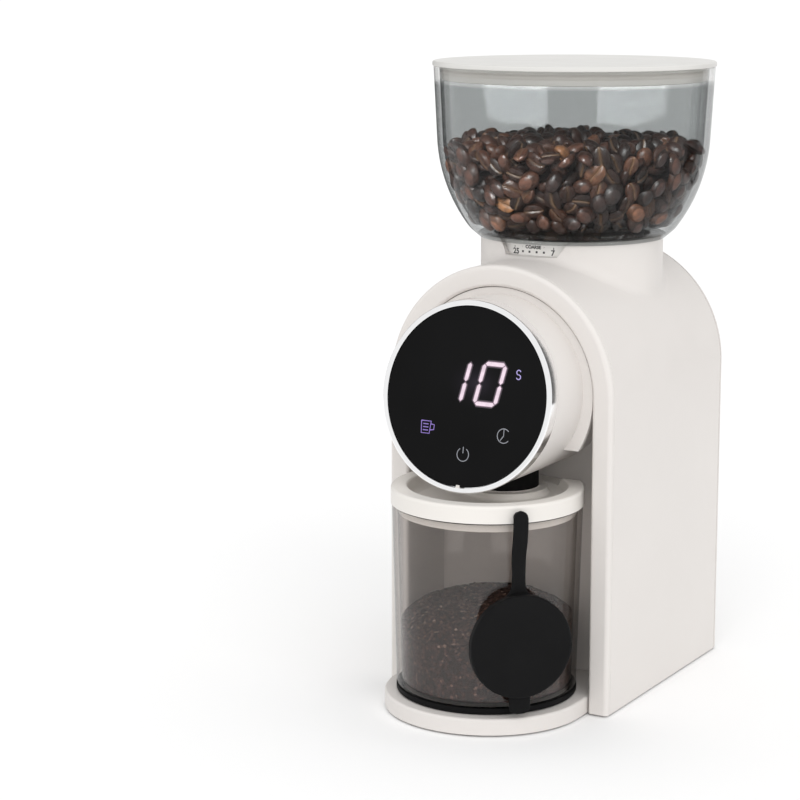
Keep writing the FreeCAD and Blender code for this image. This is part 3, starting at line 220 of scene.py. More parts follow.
def grounds_finish():
    """Ground coffee: speckled brown, darker and redder towards the jar's foot in uneven patches, with a few pale
    flakes.
    """
    material, tree = new_tree("ground_coffee")
    cells = put(tree, "TexVoronoi", {"Vector": where(tree), "Scale": 900.0}).outputs["Color"]
    speck = put(tree, "SeparateColor", {"Color": cells}).outputs["Red"]
    stops = [(0.0, (0.008, 0.003, 0.002)), (0.5, (0.028, 0.013, 0.009)), (0.88, (0.070, 0.038, 0.028)),
             (0.97, (0.13, 0.085, 0.065)), (1.0, (0.30, 0.24, 0.20))]
    grains = ramp(tree, speck, stops)
    # Darker and redder towards the jar's foot, in uneven patches.
    height = put(tree, "SeparateXYZ", {"Vector": where(tree)}).outputs["Z"]
    level = spread(tree, height, 0.0, 1.0, JAR_FOOT, JAR_FOOT + 45 * MM)
    uneven = put(tree, "Math", {0: level, 1: grain(tree, 60, 4)}, operation="MULTIPLY").outputs["Value"]
    patch = ramp(tree, uneven, [(0.0, (0.75, 0.48, 0.42)), (0.6, (1.05, 1.02, 1.0))])
    mixed = put(tree, "Mix", {"Factor": 1.0, 6: grains, 7: patch}, data_type="RGBA", blend_type="MULTIPLY")
    normal = bump(tree, grain(tree, 1100, 5, (1, 1, 1), 0.7), 0.9, 0.7 * MM)
    sockets = {"Base Color": mixed.outputs[2], "Roughness": 0.85, "Normal": normal}
    finish_tree(tree, put(tree, "BsdfPrincipled", sockets).outputs["BSDF"])
    return material


def glass_finish():
    """Black touch glass with the faint halo that the lit digits throw in it."""
    material, tree = new_tree("black_glass")
    place = where(tree)
    digits = on_display(5 * MM, 6.6 * MM, 0)
    stretch = (1 / (17 * MM), 1 / (17 * MM), 1 / (13 * MM))
    offset = tuple(-c * s for c, s in zip(digits, stretch))
    round_it = put(tree, "Mapping", {"Vector": place, "Scale": stretch, "Location": offset}).outputs["Vector"]
    ball = put(tree, "TexGradient", {"Vector": round_it}, gradient_type="QUADRATIC_SPHERE").outputs["Fac"]
    halo = ramp(tree, ball, [(0.0, (0, 0, 0)), (0.25, (0.004, 0.003, 0.005)), (1.0, (0.022, 0.017, 0.026))])
    rough = spread(tree, grain(tree, 40, 4), 0.05, 0.09)
    depth = ramp(tree, grain(tree, 20, 3), tones((0.0035, 0.0035, 0.0037), 0.2))
    sockets = {"Base Color": depth, "Roughness": rough, "Specular IOR Level": 0.09,
               "Emission Color": halo, "Emission Strength": 1.0}
    finish_tree(tree, put(tree, "BsdfPrincipled", sockets).outputs["BSDF"])
    return material


# ---------------------------------------------------------------- mesh helpers
def piece(name, mesh, material, body, replaces=()):
    """Turns a bmesh into a smooth object that rides a body."""
    bmesh.ops.recalc_face_normals(mesh, faces=mesh.faces)
    data = bpy.data.meshes.new(name)
    mesh.to_mesh(data)
    mesh.free()
    return shown(name, data, material, body, replaces)


def shown(name, data, material, body, replaces=()):
    data.materials.append(material)
    if isinstance(data, bpy.types.Mesh):
        data.shade_smooth()
        data.set_sharp_from_angle(angle=math.radians(38))
    made = bpy.data.objects.new(name, data)
    bpy.context.scene.collection.objects.link(made)
    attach(made, body)
    if replaces:
        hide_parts(*replaces)
    return made


def smooth_faces(made):
    """Keeps the large faces flat-looking beside their rounded edges."""
    change = made.modifiers.new("even_normals", "WEIGHTED_NORMAL")
    change.keep_sharp = True
    return made


def rounded(corners, steps=5):
    """Outline with each corner (x, y, radius in mm) turned into a small arc; all in mm."""
    points = []
    for i, (x, y, radius) in enumerate(corners):
        here = Vector((x, y))
        back = Vector(corners[i - 1][:2]) - here
        ahead = Vector(corners[(i + 1) % len(corners)][:2]) - here
        if radius <= 0:
            points.append(here)
            continue
        reach = min(radius / math.tan(back.angle(ahead) / 2), back.length * 0.48, ahead.length * 0.48)
        start = here + back.normalized() * reach
        end = here + ahead.normalized() * reach
        for k in range(steps + 1):
            t = k / steps
            points.append(start * (1 - t) ** 2 + here * 2 * t * (1 - t) + end * t ** 2)
    return points


def bulge(start, end, radius, steps=24):
    """Points of an arc from start to end that bulges away from the axis, ends left out."""
    start, end = Vector(start), Vector(end)
    chord = end - start
    sideways = Vector((-chord.y, chord.x)).normalized()
    if sideways.x > 0:
        sideways.negate()
    centre = (start + end) / 2 + sideways * math.sqrt(radius ** 2 - (chord.length / 2) ** 2)
    first = math.atan2(start.y - centre.y, start.x - centre.x)
    last = math.atan2(end.y - centre.y, end.x - centre.x)
    angles = [first + (last - first) * k / steps for k in range(1, steps)]
    return [(centre.x + radius * math.cos(a), centre.y + radius * math.sin(a), 0) for a in angles]


def upright(y):
    """Places lathe coordinates round a vertical axis at y."""
    return lambda a, b, h: Vector((a, y + b, h))


def on_display(a, b, depth):
    """Point a across and b up the leaning display, at a depth behind its front plane."""
    return Vector((a, DISPLAY_Y + depth / math.cos(TILT) + b * math.tan(TILT), DRUM_Z + b))


def bridge(mesh, low, high):
    count = max(len(low), len(high))
    for k in range(count):
        corners = []
        for vertex in (low[k % len(low)], low[(k + 1) % len(low)],
                       high[(k + 1) % len(high)], high[k % len(high)]):
            if vertex not in corners:
                corners.append(vertex)
        mesh.faces.new(corners)


def turned(mesh, outline, place, segments=144, closed=True):
    """Adds a solid of revolution from outline points (radius, height) in mm."""
    rings = []
    for point in outline:
        radius, height = point[0] * MM, point[1] * MM
        if radius < TINY:
            rings.append([mesh.verts.new(place(0, 0, height))])
            continue
        angles = [math.tau * k / segments for k in range(segments)]
        rings.append([mesh.verts.new(place(radius * math.cos(t), radius * math.sin(t), height))
                      for t in angles])
    follow = rings[1:] + rings[:1] if closed else rings[1:]
    for low, high in zip(rings, follow):
        bridge(mesh, low, high)
    return rings


def lathe(name, outline, place, material, body, replaces=(), segments=144, closed=True):
    mesh = bmesh.new()
    turned(mesh, outline, place, segments, closed)
    return smooth_faces(piece(name, mesh, material, body, replaces))


def plate_ring(half, thick, middle_x, middle_y, height, points=20):
    """Rounded cross-section of a strap, points (x, y, z)."""
    ring = []
    for k in range(points):
        t = math.tau * k / points
        c, s = math.cos(t), math.sin(t)
        x = half * math.copysign(abs(c) ** 0.35, c)
        y = thick / 2 * math.copysign(abs(s) ** 0.6, s)
        ring.append((middle_x + x, middle_y + y, height))
    return ring


def skin(mesh, rings, move):
    """Joins cross-sections into a closed strap; all in mm."""
    made = [[mesh.verts.new(move @ (Vector(p) * MM)) for p in ring] for ring in rings]
    for low, high in zip(made, made[1:]):
        bridge(mesh, low, high)
    mesh.faces.new(made[0])
    mesh.faces.new(list(reversed(made[-1])))


# ---------------------------------------------------------------- finishes
FINISHES = {
    "shell": moulded("shell", (0.715, 0.682, 0.655), 0.46, 2600.0, 0.05, 0.010),
    "shell_lid": moulded("shell_lid", (0.765, 0.735, 0.695), 0.42, 2600.0, 0.05, 0.010),
    "silicone": moulded("silicone", (0.0055, 0.0055, 0.0058), 0.60, 1800.0, 0.20, 0.10,
                        Specular_IOR_Level=0.10),
    "clear_seal": moulded("clear_seal", (0.62, 0.60, 0.57), 0.35, 1200.0, 0.10, 0.02),
    "burr_steel": moulded("burr_steel", (0.42, 0.42, 0.44), 0.30, 900.0, 0.20, 0.06, (1, 1, 9), Metallic=1.0),
    "bright_steel": moulded("bright_steel", (0.58, 0.58, 0.60), 0.24, 700.0, 0.15, 0.05, (1, 1, 12),
                            Metallic=1.0),
    "nylon": moulded("nylon", (0.66, 0.64, 0.56), 0.48, 900.0, 0.12, 0.03, Subsurface_Weight=0.1,
                     Subsurface_Scale=0.002),
    "dark_plastic": moulded("dark_plastic", (0.022, 0.022, 0.024), 0.50, 1500.0, 0.18, 0.08),
    "motor_paint": moulded("motor_paint", (0.045, 0.045, 0.050), 0.36, 1100.0, 0.15, 0.08),
    "zinc_plate": moulded("zinc_plate", (0.44, 0.45, 0.47), 0.34, 300.0, 0.12, 0.10, Metallic=0.9),
    "polished_ring": moulded("polished_ring", (0.95, 0.95, 0.955), 0.10, 240.0, 0.02, 0.02, (1, 30, 1),
                             Metallic=1.0),
    # The hopper's paler top band is painted light on the lid's skirt seen through it.
    "smoked_clear": clear_plastic("smoked_clear", (0.735, 0.745, 0.745), (0.38, 0.39, 0.39), 0.013,
                                  (HOPPER_TOP - 8.6 * MM, (0.92, 0.92, 0.915))),
    "smoked_jar": clear_plastic("smoked_jar", (0.93, 0.915, 0.905), (0.50, 0.48, 0.47), 0.042),
    "black_glass": glass_finish(),
    "circuit": circuit_finish(),
}
# Painted light: a paler copy of the body plastic for the dial, so that it stays bright in the shade of the notch it
# sits behind.
LIGHTENED_DIAL = moulded("dial", (0.88, 0.86, 0.83), 0.42, 2600.0, 0.05, 0.010)
# Painted shade: a darker copy of the body plastic for the hopper's cap, holding down its top, which the lamps light
# strongly.
DIMMED_CAP = moulded("cap", (0.665, 0.655, 0.63), 0.40, 2600.0, 0.05, 0.010)
SEAM = moulded("seam_shadow", (0.10, 0.095, 0.09), 0.7, 900.0, 0.1, 0.05)
PRINT = moulded("scale_print", (0.030, 0.030, 0.032), 0.55, 2400.0, 0.05, 0.12)
BEAN = bean_finish()
GROUNDS = grounds_finish()
DIGITS = glowing("digit_light", (0.86, 0.70, 0.80), 1.0)
GLOW = glowing("digit_glow_light", (0.30, 0.20, 0.27), 1.0)
HAZE = glowing("digit_haze_light", (0.040, 0.028, 0.038), 1.0)
LAVENDER = glowing("lavender_light", (0.50, 0.42, 0.85), 0.9)
PURPLE = glowing("purple_light", (0.30, 0.20, 0.62), 0.9)
GREY_LIGHT = glowing("grey_light", (0.36, 0.37, 0.41), 0.8)


def dress_nodes():
    """Gives each CAD node the node material of its slot."""
    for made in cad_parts.values():
        for held in made.material_slots:
            held.material = FINISHES[held.material.name.split(".")[0]]
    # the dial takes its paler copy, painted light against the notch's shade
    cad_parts["adjusting_ring"].material_slots[0].material = LIGHTENED_DIAL


# ---------------------------------------------------------------- display
def solid(mesh, outline, front, back):
    """Adds a thin solid on the display; outline across and up, and depths, all in mm."""
    near = [mesh.verts.new(on_display(a * MM, b * MM, front * MM)) for a, b in outline]
    far = [mesh.verts.new(on_display(a * MM, b * MM, back * MM)) for a, b in outline]
    bridge(mesh, near, far)
    mesh.faces.new(near)
    mesh.faces.new(list(reversed(far)))


def make_bezel():
    """Polished ring: rounded lip, front band, ledge for the glass, a skirt and a pale mark below."""
    outline = rounded([
        (BEZEL_RADIUS / MM, 0, 0.7), (BEZEL_RADIUS / MM, 7.0, 0.25), (40.6, 7.0, 0), (40.6, 10.0, 0.2),
        (39.4, 10.0, 0.2), (39.4, 2.65, 0.1), (42.2, 2.65, 0), (41.0, 0, 0.3),
    ])
    lathe("display_ring", outline, on_display, FINISHES["polished_ring"], "housing",
          ["display_bezel"], 192)
    mesh = bmesh.new()
    solid(mesh, [(-1.5, -41.8), (1.0, -41.8), (0.6, -39.9), (-1.0, -39.9)], 0.12, 0.6)
    piece("ring_mark", mesh, FINISHES["shell_lid"], "housing")


def make_glass():
    outline = rounded([(0, 0.5, 0), (40.9, 0.5, 0.25), (40.9, 2.6, 0.1), (0, 2.6, 0)])
    lathe("touch_glass", outline, on_display, FINISHES["black_glass"], "housing",
          ["display_glass"], 192, False)


SLANT = 0.215
DIGIT_SIZE = (10.5, 18.2)   # width and height of a digit
STROKE = 1.7                # width of a lit segment


def segment(start, end, half, side, grow):
    """Six-cornered lit bar between two ends (along x or y) of the unslanted digit."""
    (x0, y0), (x1, y1) = start, end
    half += grow
    if side == "level":
        x0, x1 = x0 - grow, x1 + grow
        bar = [(x0, y0), (x0 + half, y0 + half), (x1 - half, y1 + half), (x1, y1),
               (x1 - half, y1 - half), (x0 + half, y0 - half)]
    else:
        y0, y1 = y0 - grow, y1 + grow
        bar = [(x0, y0), (x0 + half, y0 + half), (x1 + half, y1 - half), (x1, y1),
               (x1 - half, y1 - half), (x0 - half, y0 + half)]
    return [(x + SLANT * y, y) for x, y in bar]


def digit(mesh, left, foot, lit, grow, front):
    """Seven-segment digit; lit names the bars that glow, grow widens them for their halo."""
    wide, tall = DIGIT_SIZE
    gap = 0.35
    right, mid, top = wide, tall / 2, tall
    bars = {
        "top": ((gap, top), (right - gap, top), "level"),
        "foot": ((gap, 0), (right - gap, 0), "level"),
        "left_high": ((0, mid + gap), (0, top - gap), "tall"),
        "left_low": ((0, gap), (0, mid - gap), "tall"),
        "right_high": ((right, mid + gap), (right, top - gap), "tall"),
        "right_low": ((right, gap), (right, mid - gap), "tall"),
    }
    for name in lit:
        start, end, side = bars[name]
        outline = segment(start, end, STROKE / 2, side, grow)
        solid(mesh, [(left + x, foot + y) for x, y in outline], front, 0.6)


def make_digits():
    """Lit digits with two fainter layers round them, as a diffuser spreads their light."""
    layers = (("lit_digits", DIGITS, 0.0, 0.40), ("digit_glow", GLOW, 0.32, 0.43),
              ("digit_haze", HAZE, 0.85, 0.46))
    for name, light, grow, front in layers:
        mesh = bmesh.new()
        digit(mesh, -13.3, -2.4, ["right_high", "right_low"], grow, front)
        zero = ["top", "foot", "left_high", "left_low", "right_high", "right_low"]
        digit(mesh, 4.6, -2.4, zero, grow, front)
        piece(name, mesh, light, "housing")


def printed(name, lines, width, material, body="housing"):
    """Fine print on the display: round lines along points given across and up in mm."""
    curve = bpy.data.curves.new(name, "CURVE")
    curve.dimensions = "3D"
    curve.bevel_depth = width / 2 * MM
    curve.bevel_resolution = 2
    curve.use_fill_caps = True
    for points in lines:
        line = curve.splines.new("POLY")
        line.points.add(len(points) - 1)
        for knot, (a, b) in zip(line.points, points):
            knot.co = (*on_display(a * MM, b * MM, 0.55 * MM), 1)
    shown(name, curve, material, body)


def round_line(centre, radius, start, end, steps=28):
    """Points of a circle's part, angles in degrees counter-clockwise from the right."""
    angles = [math.radians(start + (end - start) * k / steps) for k in range(steps + 1)]
    return [(centre[0] + radius * math.cos(a), centre[1] + radius * math.sin(a)) for a in angles]


def make_icons():
    """Cup, clock, power and seconds marks."""
    x, y = -22.0, -18.3
    cup = [(x, y + 5.6), (x + 0.3, y), (x + 4.5, y), (x + 5.1, y + 5.6), (x, y + 5.6)]
    handle = [(x + 4.9, y + 4.4), (x + 6.9, y + 4.1), (x + 6.7, y + 1.9), (x + 4.7, y + 1.6)]
    inside = [[(x + 1.1, y + h), (x + 3.8, y + h)] for h in (1.4, 2.8, 4.2)]
    printed("cup_mark", [cup, handle, *inside], 0.5, PURPLE)
    face, power = (20.9, -15.6), (0.9, -26.0)
    clock = [round_line(face, 3.2, 42, 322), [(face[0], face[1] + 3.1), face, (face[0] - 1.6, face[1] - 2.2)]]
    switch = [round_line(power, 3.0, 122, 418), [(power[0], power[1] + 0.6), (power[0], power[1] + 3.5)]]
    printed("clock_and_power_marks", [*clock, *switch], 0.42, GREY_LIGHT)
    s = (25.9, 12.2)
    seconds = round_line((s[0], s[1] + 1.0), 1.05, 20, 270, 14) + round_line((s[0], s[1] - 1.05), 1.05, 90, -160, 14)
    printed("seconds_mark", [seconds], 0.5, LAVENDER)


# ---------------------------------------------------------------- hopper, lid and dial
WALL = 2.8
WAIST = (66.2, 263.0)
HIP = (50.3, 219.4)
INNER_WAIST = (WAIST[0] - WALL, WAIST[1])
INNER_HIP = (48.6, 221.8)
CURVE = 78.0


def make_hopper():
    """Clear bowl with a tapered wall above it and a neck below."""
    top = HOPPER_TOP / MM
    outline = rounded([(38.2, 203.9, 0.4), (38.2, 217.0, 0.6), (46.6, 217.0, 1.2)])
    outline += [HIP, *bulge(HIP, WAIST, CURVE), WAIST]
    outline += rounded([(67.94, top - 1.2, 0), (68.0, top, 0.6), (65.2, top, 0.6), (65.1, top - 1.2, 0)])[1:-1]
    outline += [INNER_WAIST, *bulge(INNER_WAIST, INNER_HIP, CURVE - WALL), INNER_HIP]
    outline += rounded([(36.2, 218.8, 0), (35.7, 218.2, 0), (35.7, 203.9, 0.3)])
    lathe("bean_hopper", outline, upright(HOPPER_Y), FINISHES["smoked_clear"], "hopper",
          ["hopper"], 192)


def make_cap():
    """Flat lid with a rounded rim and a skirt inside the hopper's mouth."""
    top = CAP_TOP / MM
    outline = rounded([
        (0, 297.7, 0), (62.1, 297.7, 0.6), (62.1, 290.8, 0.5), (64.1, 290.8, 0.6), (64.3, 297.65, 0),
        (68.6, 297.65, 0.5), (68.6, top, 1.3), (0, top, 0),
    ])
    # the cap takes its darker copy, painted shade against the light on its top
    lathe("flat_lid", outline, upright(HOPPER_Y), DIMMED_CAP, "cap", ["hopper_lid"], 192, False)


def wrapped(name, meshes, material, radius=DIAL_RADIUS, proud=0.06 * MM):
    """Wraps flat marks (x along the rim, y up from the dial's top) round the dial, facing front."""
    joined = bmesh.new()
    for data in meshes:
        joined.from_mesh(data)
    bmesh.ops.remove_doubles(joined, verts=joined.verts, dist=1e-6)
    for vertex in joined.verts:
        turn = vertex.co.x / radius
        reach = radius - 0.05 * MM + proud * (1 if vertex.co.z > 0 else 0)
        height = DIAL_TOP + vertex.co.y
        vertex.co = Vector((reach * math.sin(turn), HOPPER_Y - reach * math.cos(turn), height))
    piece(name, joined, material, "dial")


def lettered(text, size, x, y):
    """Mesh of a line of text centred at x, its foot at y; in metres."""
    curve = bpy.data.curves.new("text", "FONT")
    curve.body = text
    curve.size = size * MM
    curve.align_x = "CENTER"
    curve.extrude = 0.05 * MM
    curve.offset = 0.10 * MM
    made = bpy.data.objects.new("text", curve)
    data = bpy.data.meshes.new_from_object(made)
    bpy.data.objects.remove(made)
    data.transform(Matrix.Translation((x * MM, y * MM, 0)))
    return data


def bar(x0, y0, x1, y1):
    mesh = bmesh.new()
    corners = [(x0, y0), (x1, y0), (x1, y1), (x0, y1)]
    low = [mesh.verts.new((x * MM, y * MM, -0.05 * MM)) for x, y in corners]
    high = [mesh.verts.new((x * MM, y * MM, 0.05 * MM)) for x, y in corners]
    bridge(mesh, low, high)
    mesh.faces.new(high)
    mesh.faces.new(list(reversed(low)))
    data = bpy.data.meshes.new("bar")
    mesh.to_mesh(data)
    mesh.free()
    return data


def make_scale():
    """Grind scale on the dial: numbers, dots between them and a bracket with its range."""
    marks = [lettered("25", 3.7, -9.6, -6.5), lettered("7", 3.7, 10.0, -6.5)]
    marks += [lettered("COARSE", 2.2, 0, -3.6)]
    marks += [bar(x - 0.5, -5.7, x + 0.5, -4.7) for x in (-5.6, -1.9, 1.9, 5.6)]
    marks += [bar(-10.6, -3.0, -5.6, -2.65), bar(5.6, -3.0, 10.6, -2.65)]
    marks += [bar(-10.6, -3.8, -10.25, -2.65), bar(10.25, -3.8, 10.6, -2.65)]
    wrapped("grind_scale", marks, PRINT)


# ---------------------------------------------------------------- jar and stopper
def make_jar():
    """Clear jar with a rounded rim and foot."""
    foot, top = JAR_FOOT / MM, JAR_TOP / MM
    outline = rounded([
        (0, foot, 0), (42.3, foot, 1.6), (44.6, top, 0.5), (42.2, top, 0.5), (39.97, foot + 1.0, 2.2),
        (0, foot + 1.0, 0),
    ])
    lathe("clear_jar", outline, upright(JAR_Y), FINISHES["smoked_jar"], "jar",
          ["jar_body"], 192, False)


def make_foot_ring():
    """Soft ring under the jar's edge."""
    low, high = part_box("jar_foot_ring")
    foot, top = low.z / MM, high.z / MM
    outline = rounded([(39.6, foot, 0.5), (42.5, foot, 0.9), (42.5, top, 0.5), (39.6, top, 0.3)])
    lathe("soft_foot", outline, upright(JAR_Y), FINISHES["silicone"], "jar", ["jar_foot_ring"])


def make_stopper():
    """Silicone stopper: strap from the jar's lid, round cap with its stub, and a pull tab."""
    mesh = bmesh.new()
    turn = Matrix.Rotation(STOPPER_ANGLE, 4, "Z")
    move = Matrix.Translation((0, JAR_Y, PEG_Z)) @ turn
    disc_z, disc_y = -58.7, -48.2
    strap = []
    for drop in (0.0, 0.3, 0.9, 1.8, 3.5, 8, 14, 20, 23.5, 26, 30, 33, 35, 37, 39, 41, 44):
        height = 3.5 - drop
        half = 3.5 if drop > 3.5 else math.sqrt(max(3.5 ** 2 - (3.5 - drop) ** 2, 0.25))
        half -= 0.35 * math.exp(-((drop - 30) / 8) ** 2)
        half += 4.0 * max(0, (drop - 35) / 6) ** 2
        slope = min(max(0, (-20 - height) / (disc_z + 24 + 20)), 1)
        strap.append(plate_ring(half, 2.0, 0, -46.6 - 2.75 * slope * slope * (3 - 2 * slope), height))
    skin(mesh, strap, move)
    tab = []
    for drop in (40, 60, 80, 86, 87.4, 88.8, 89.6, 90.1, 90.4):
        inset = max(0, drop - 87.4)
        half = 5 - 3 + math.sqrt(max(3 ** 2 - inset ** 2, 0))
        tab.append(plate_ring(half, 2.2, 0, -49.6, -drop))
    skin(mesh, tab, move)
    cap = rounded([(0, -52.7, 0), (24, -52.7, 1.5), (24, disc_y, 0.5), (15.8, disc_y, 0.4), (15.8, -44.2, 0.6),
                   (0, -44.2, 0)])
    turned(mesh, cap, lambda a, b, h: move @ Vector((a, h, b + disc_z * MM)), 128, False)
    peg = rounded([(0, -46.5, 0), (2.4, -46.5, 0), (2.4, -45.25, 0.3), (0, -45.25, 0)])
    turned(mesh, peg, lambda a, b, h: move @ Vector((a, h, b)), 32, False)
    smooth_faces(piece("jar_stopper", mesh, FINISHES["silicone"], "stopper", ["dust_stopper"]))


def make_screws():
    """Cross-head screws in the back."""
    low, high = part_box("rear_screws")
    mesh = bmesh.new()
    head = 3.2
    for x in (low.x + head * MM, high.x - head * MM):
        for z in (low.z + head * MM, high.z - head * MM):
            place = Matrix.Translation((x, BACK_Y, z))
            outline = rounded([(0, 0.75, 0), (0.5, 0.75, 0), (head - 1.2, 1.7, 0.6), (head, 0.6, 0.4), (head, 0.02, 0),
                               (0, 0.02, 0)])
            turned(mesh, outline, lambda a, b, h, p=place: p @ Vector((a, h, b)), 40, False)
            for angle in (0.4, 0.4 + math.pi / 2):
                arm = Matrix.Translation((x, BACK_Y + 1.55 * MM, z)) @ Matrix.Rotation(angle, 4, "Y")
                rings = [plate_ring(0.32, 0.5, 0, 0, h) for h in (-1.7, 1.7)]
                skin(mesh, rings, arm)
    smooth_faces(piece("cross_screws", mesh, FINISHES["bright_steel"], "housing",
                       ["rear_screws"]))


# ---------------------------------------------------------------- beans
BEAN_HALF = (5.2, 3.9, 3.1)   # half length, width and thickness in mm
BEAN_COUNT = 1030
BEAN_ROOM = 3.75              # radius of the ball that a bean is packed as


def heap_top(x, y):
    """Height of the heap's top, highest in the middle."""
    r = np.hypot(x, y) / 63.0
    return 264.6 - 5.0 * r ** 2 + 2.0 * np.sin(x / 9.0 + 1.0) * np.cos(y / 10.0)


def bowl_centre():
    """Centre of the inner wall's arc, from its ends and radius."""
    start, end = Vector(INNER_HIP), Vector(INNER_WAIST)
    chord = end - start
    sideways = Vector((-chord.y, chord.x)).normalized()
    return (start + end) / 2 + sideways * math.sqrt((CURVE - WALL) ** 2 - (chord.length / 2) ** 2)


def contain(points, centre, clear):
    """Moves bean centres back inside the bowl and under the heap's top."""
    r = np.hypot(points[:, 0], points[:, 1]) + 1e-9
    dr, dz = r - centre.x, points[:, 2] - centre.y
    far = np.hypot(dr, dz)
    limit = CURVE - WALL - clear
    scale = np.where(far > limit, limit / far, 1.0)
    new_r = np.maximum(centre.x + dr * scale, 0.0)
    points[:, 2] = centre.y + dz * scale
    points[:, :2] *= (new_r / r)[:, None]
    points[:, 2] = np.clip(points[:, 2], 221.6 + clear, heap_top(points[:, 0], points[:, 1]) - 2.4)
    return points


def pack_beans(rng, centre):
    """Spreads bean centres evenly through the bowl by pushing close pairs apart."""
    angle = rng.uniform(0, math.tau, BEAN_COUNT)
    r = 60 * np.sqrt(rng.uniform(0, 1, BEAN_COUNT))
    points = np.stack([r * np.cos(angle), r * np.sin(angle), rng.uniform(224, 264, BEAN_COUNT)], 1)
    for _ in range(60):
        gap = points[:, None] - points[None]
        far = np.sqrt((gap ** 2).sum(2)) + 1e-6
        push = np.clip(2 * BEAN_ROOM - far, 0, None) / far
        np.fill_diagonal(push, 0)
        points += 0.42 * (gap * push[:, :, None]).sum(1)
        points = contain(points, centre, 3.0)
    return points


def bean_template():
    """Unit bean: points, faces and how far each point lies in the crease."""
    turns = [-90, -84, -77, -66, -48, -22, 5, 35, 65, 90, 115, 145, 175, 202, 228, 246, 257, 264]
    points, crease = [(-1.0, 0.0, 0.0)], [0.0]
    stations = [-0.985, -0.93, -0.82, -0.64, -0.42, -0.16, 0.10, 0.36, 0.60, 0.79, 0.91, 0.98]
    for x in stations:
        size = math.sqrt(1 - x * x)
        for turn in turns:
            t = math.radians(turn)
            y, z = size * math.cos(t), size * math.sin(t)
            if z < 0:
                z = -size * 0.52 * abs(math.sin(t)) ** 0.55
            inside = math.exp(-(y / 0.14) ** 2) if math.sin(t) < 0 else 0.0
            z += 0.24 * inside * size
            points.append((x, y + (0.07 * math.sin(3.0 * x) * (1 if z < 0 else 0)), z))
            crease.append(inside)
    points.append((1.0, 0.0, 0.0))
    crease.append(0.0)
    count, faces = len(turns), []
    for i in range(count):
        j = (i + 1) % count
        faces.append((0, 1 + j, 1 + i))
        last = len(points) - 1
        faces.append((last, last - count + i, last - count + j))
        for k in range(len(stations) - 1):
            a = 1 + k * count
            faces.append((a + i, a + j, a + count + j, a + count + i))
    return np.array(points), faces, np.array(crease)


def facing_out(point, centre):
    """The nearest boundary's outward direction and how near it is."""
    x, y, z = point
    r = math.hypot(x, y) + 1e-9
    side = Vector((r - centre.x, z - centre.y))
    wall_gap = CURVE - WALL - side.length
    top_gap = float(heap_top(x, y)) - z
    if wall_gap < top_gap:
        side.normalize()
        return Vector((side.x * x / r, side.x * y / r, side.y)), wall_gap
    return Vector((0.1 * x / r, 0.1 * y / r, 1)).normalized(), top_gap


def turned_bean(template, place, out, loose, drawn):
    """One bean's points: turned towards out, more or less loosely, at its own size."""
    lean = Vector((drawn[0] - 0.5, drawn[1] - 0.5, drawn[2] - 0.5)) * 2 * loose
    flat = out if drawn[3] < 0.42 else -out
    axis = (flat + lean).normalized()
    turn = (-axis).to_track_quat("Z", "Y").to_matrix() @ Matrix.Rotation(drawn[4] * math.tau, 3, "Z")
    half = np.array(BEAN_HALF) * (0.88 + 0.30 * drawn[5]) * np.array([1, 0.90 + 0.18 * drawn[6], 1])
    local = template * half
    local[:, 2] += 0.5
    local[:, 1] += 0.05 * (drawn[1] - 0.5) * local[:, 0] ** 2
    return local @ np.array(turn).T + np.array(place)


def bean_shade(crease, drawn):
    """Per-point tone, crease and gloss of one bean."""
    shade = np.ones((len(crease), 4))
    shade[:, 0] = drawn[7]
    shade[:, 1] = crease * (0.25 + 0.5 * drawn[8])
    shade[:, 2] = drawn[8]
    return shade


def neck_places():
    """Rings of beans in the hopper's neck, with their outward directions."""
    places = []
    for layer, height in enumerate((211.4, 215.2, 219.0)):
        for k in range(24):
            turn = math.tau * (k + 0.5 * layer) / 24
            out = Vector((math.cos(turn), math.sin(turn), 0))
            places.append((tuple(out * 31.0 + Vector((0, 0, height))), out))
    return places


def make_beans():
    """Roasted beans heaped in the hopper; the ones that nothing shows of are left out."""
    rng = np.random.default_rng(11)
    centre = bowl_centre()
    template, faces, crease = bean_template()
    points, shades = [], []
    for place in pack_beans(rng, centre):
        out, gap = facing_out(place, centre)
        drawn = rng.uniform(0, 1, 9)
        if gap > 13:
            continue
        loose = 0.45 if gap < 4.5 and out.z < 0.5 else 1.3
        points.append(turned_bean(template, place, out, loose, drawn))
        shades.append(bean_shade(crease, drawn))
    for place, out in neck_places():
        drawn = rng.uniform(0, 1, 9)
        points.append(turned_bean(template, place, out, 0.3, drawn))
        shades.append(bean_shade(crease, drawn))
    polygons = [tuple(k * len(template) + v for v in face) for k in range(len(points)) for face in faces]
    every = np.concatenate(points) * MM
    every[:, 1] += HOPPER_Y
    data = bpy.data.meshes.new("coffee_beans")
    data.from_pydata(every.tolist(), [], polygons)
    layer = data.color_attributes.new("bean", "FLOAT_COLOR", "POINT")
    layer.data.foreach_set("color", np.concatenate(shades).ravel())
    shown("coffee_beans", data, BEAN, "hopper")
    # A core with no per-bean colour, so in the darkest roast tone, fills the heap behind the beans: partly the hidden
    # beans, partly painted shade of the heap's depths.
    heap = [(0, 206.5, 0), (28.5, 206.5, 0), (29.5, 219.5, 0), (44, 223.2, 0)]
    heap += [(r - 7.5, z, 0) for r, z, _ in bulge(INNER_HIP, INNER_WAIST, CURVE - WALL) if z < 248]
    heap += [(40, 250, 0), (20, 255, 0), (0, 257, 0)]
    mesh = bmesh.new()
    turned(mesh, heap, upright(HOPPER_Y), 96, False)
    for vertex in mesh.verts:
        vertex.co += noise.noise_vector(vertex.co * 140) * 1.6 * MM
    piece("shaded_bean_core", mesh, BEAN, "hopper")


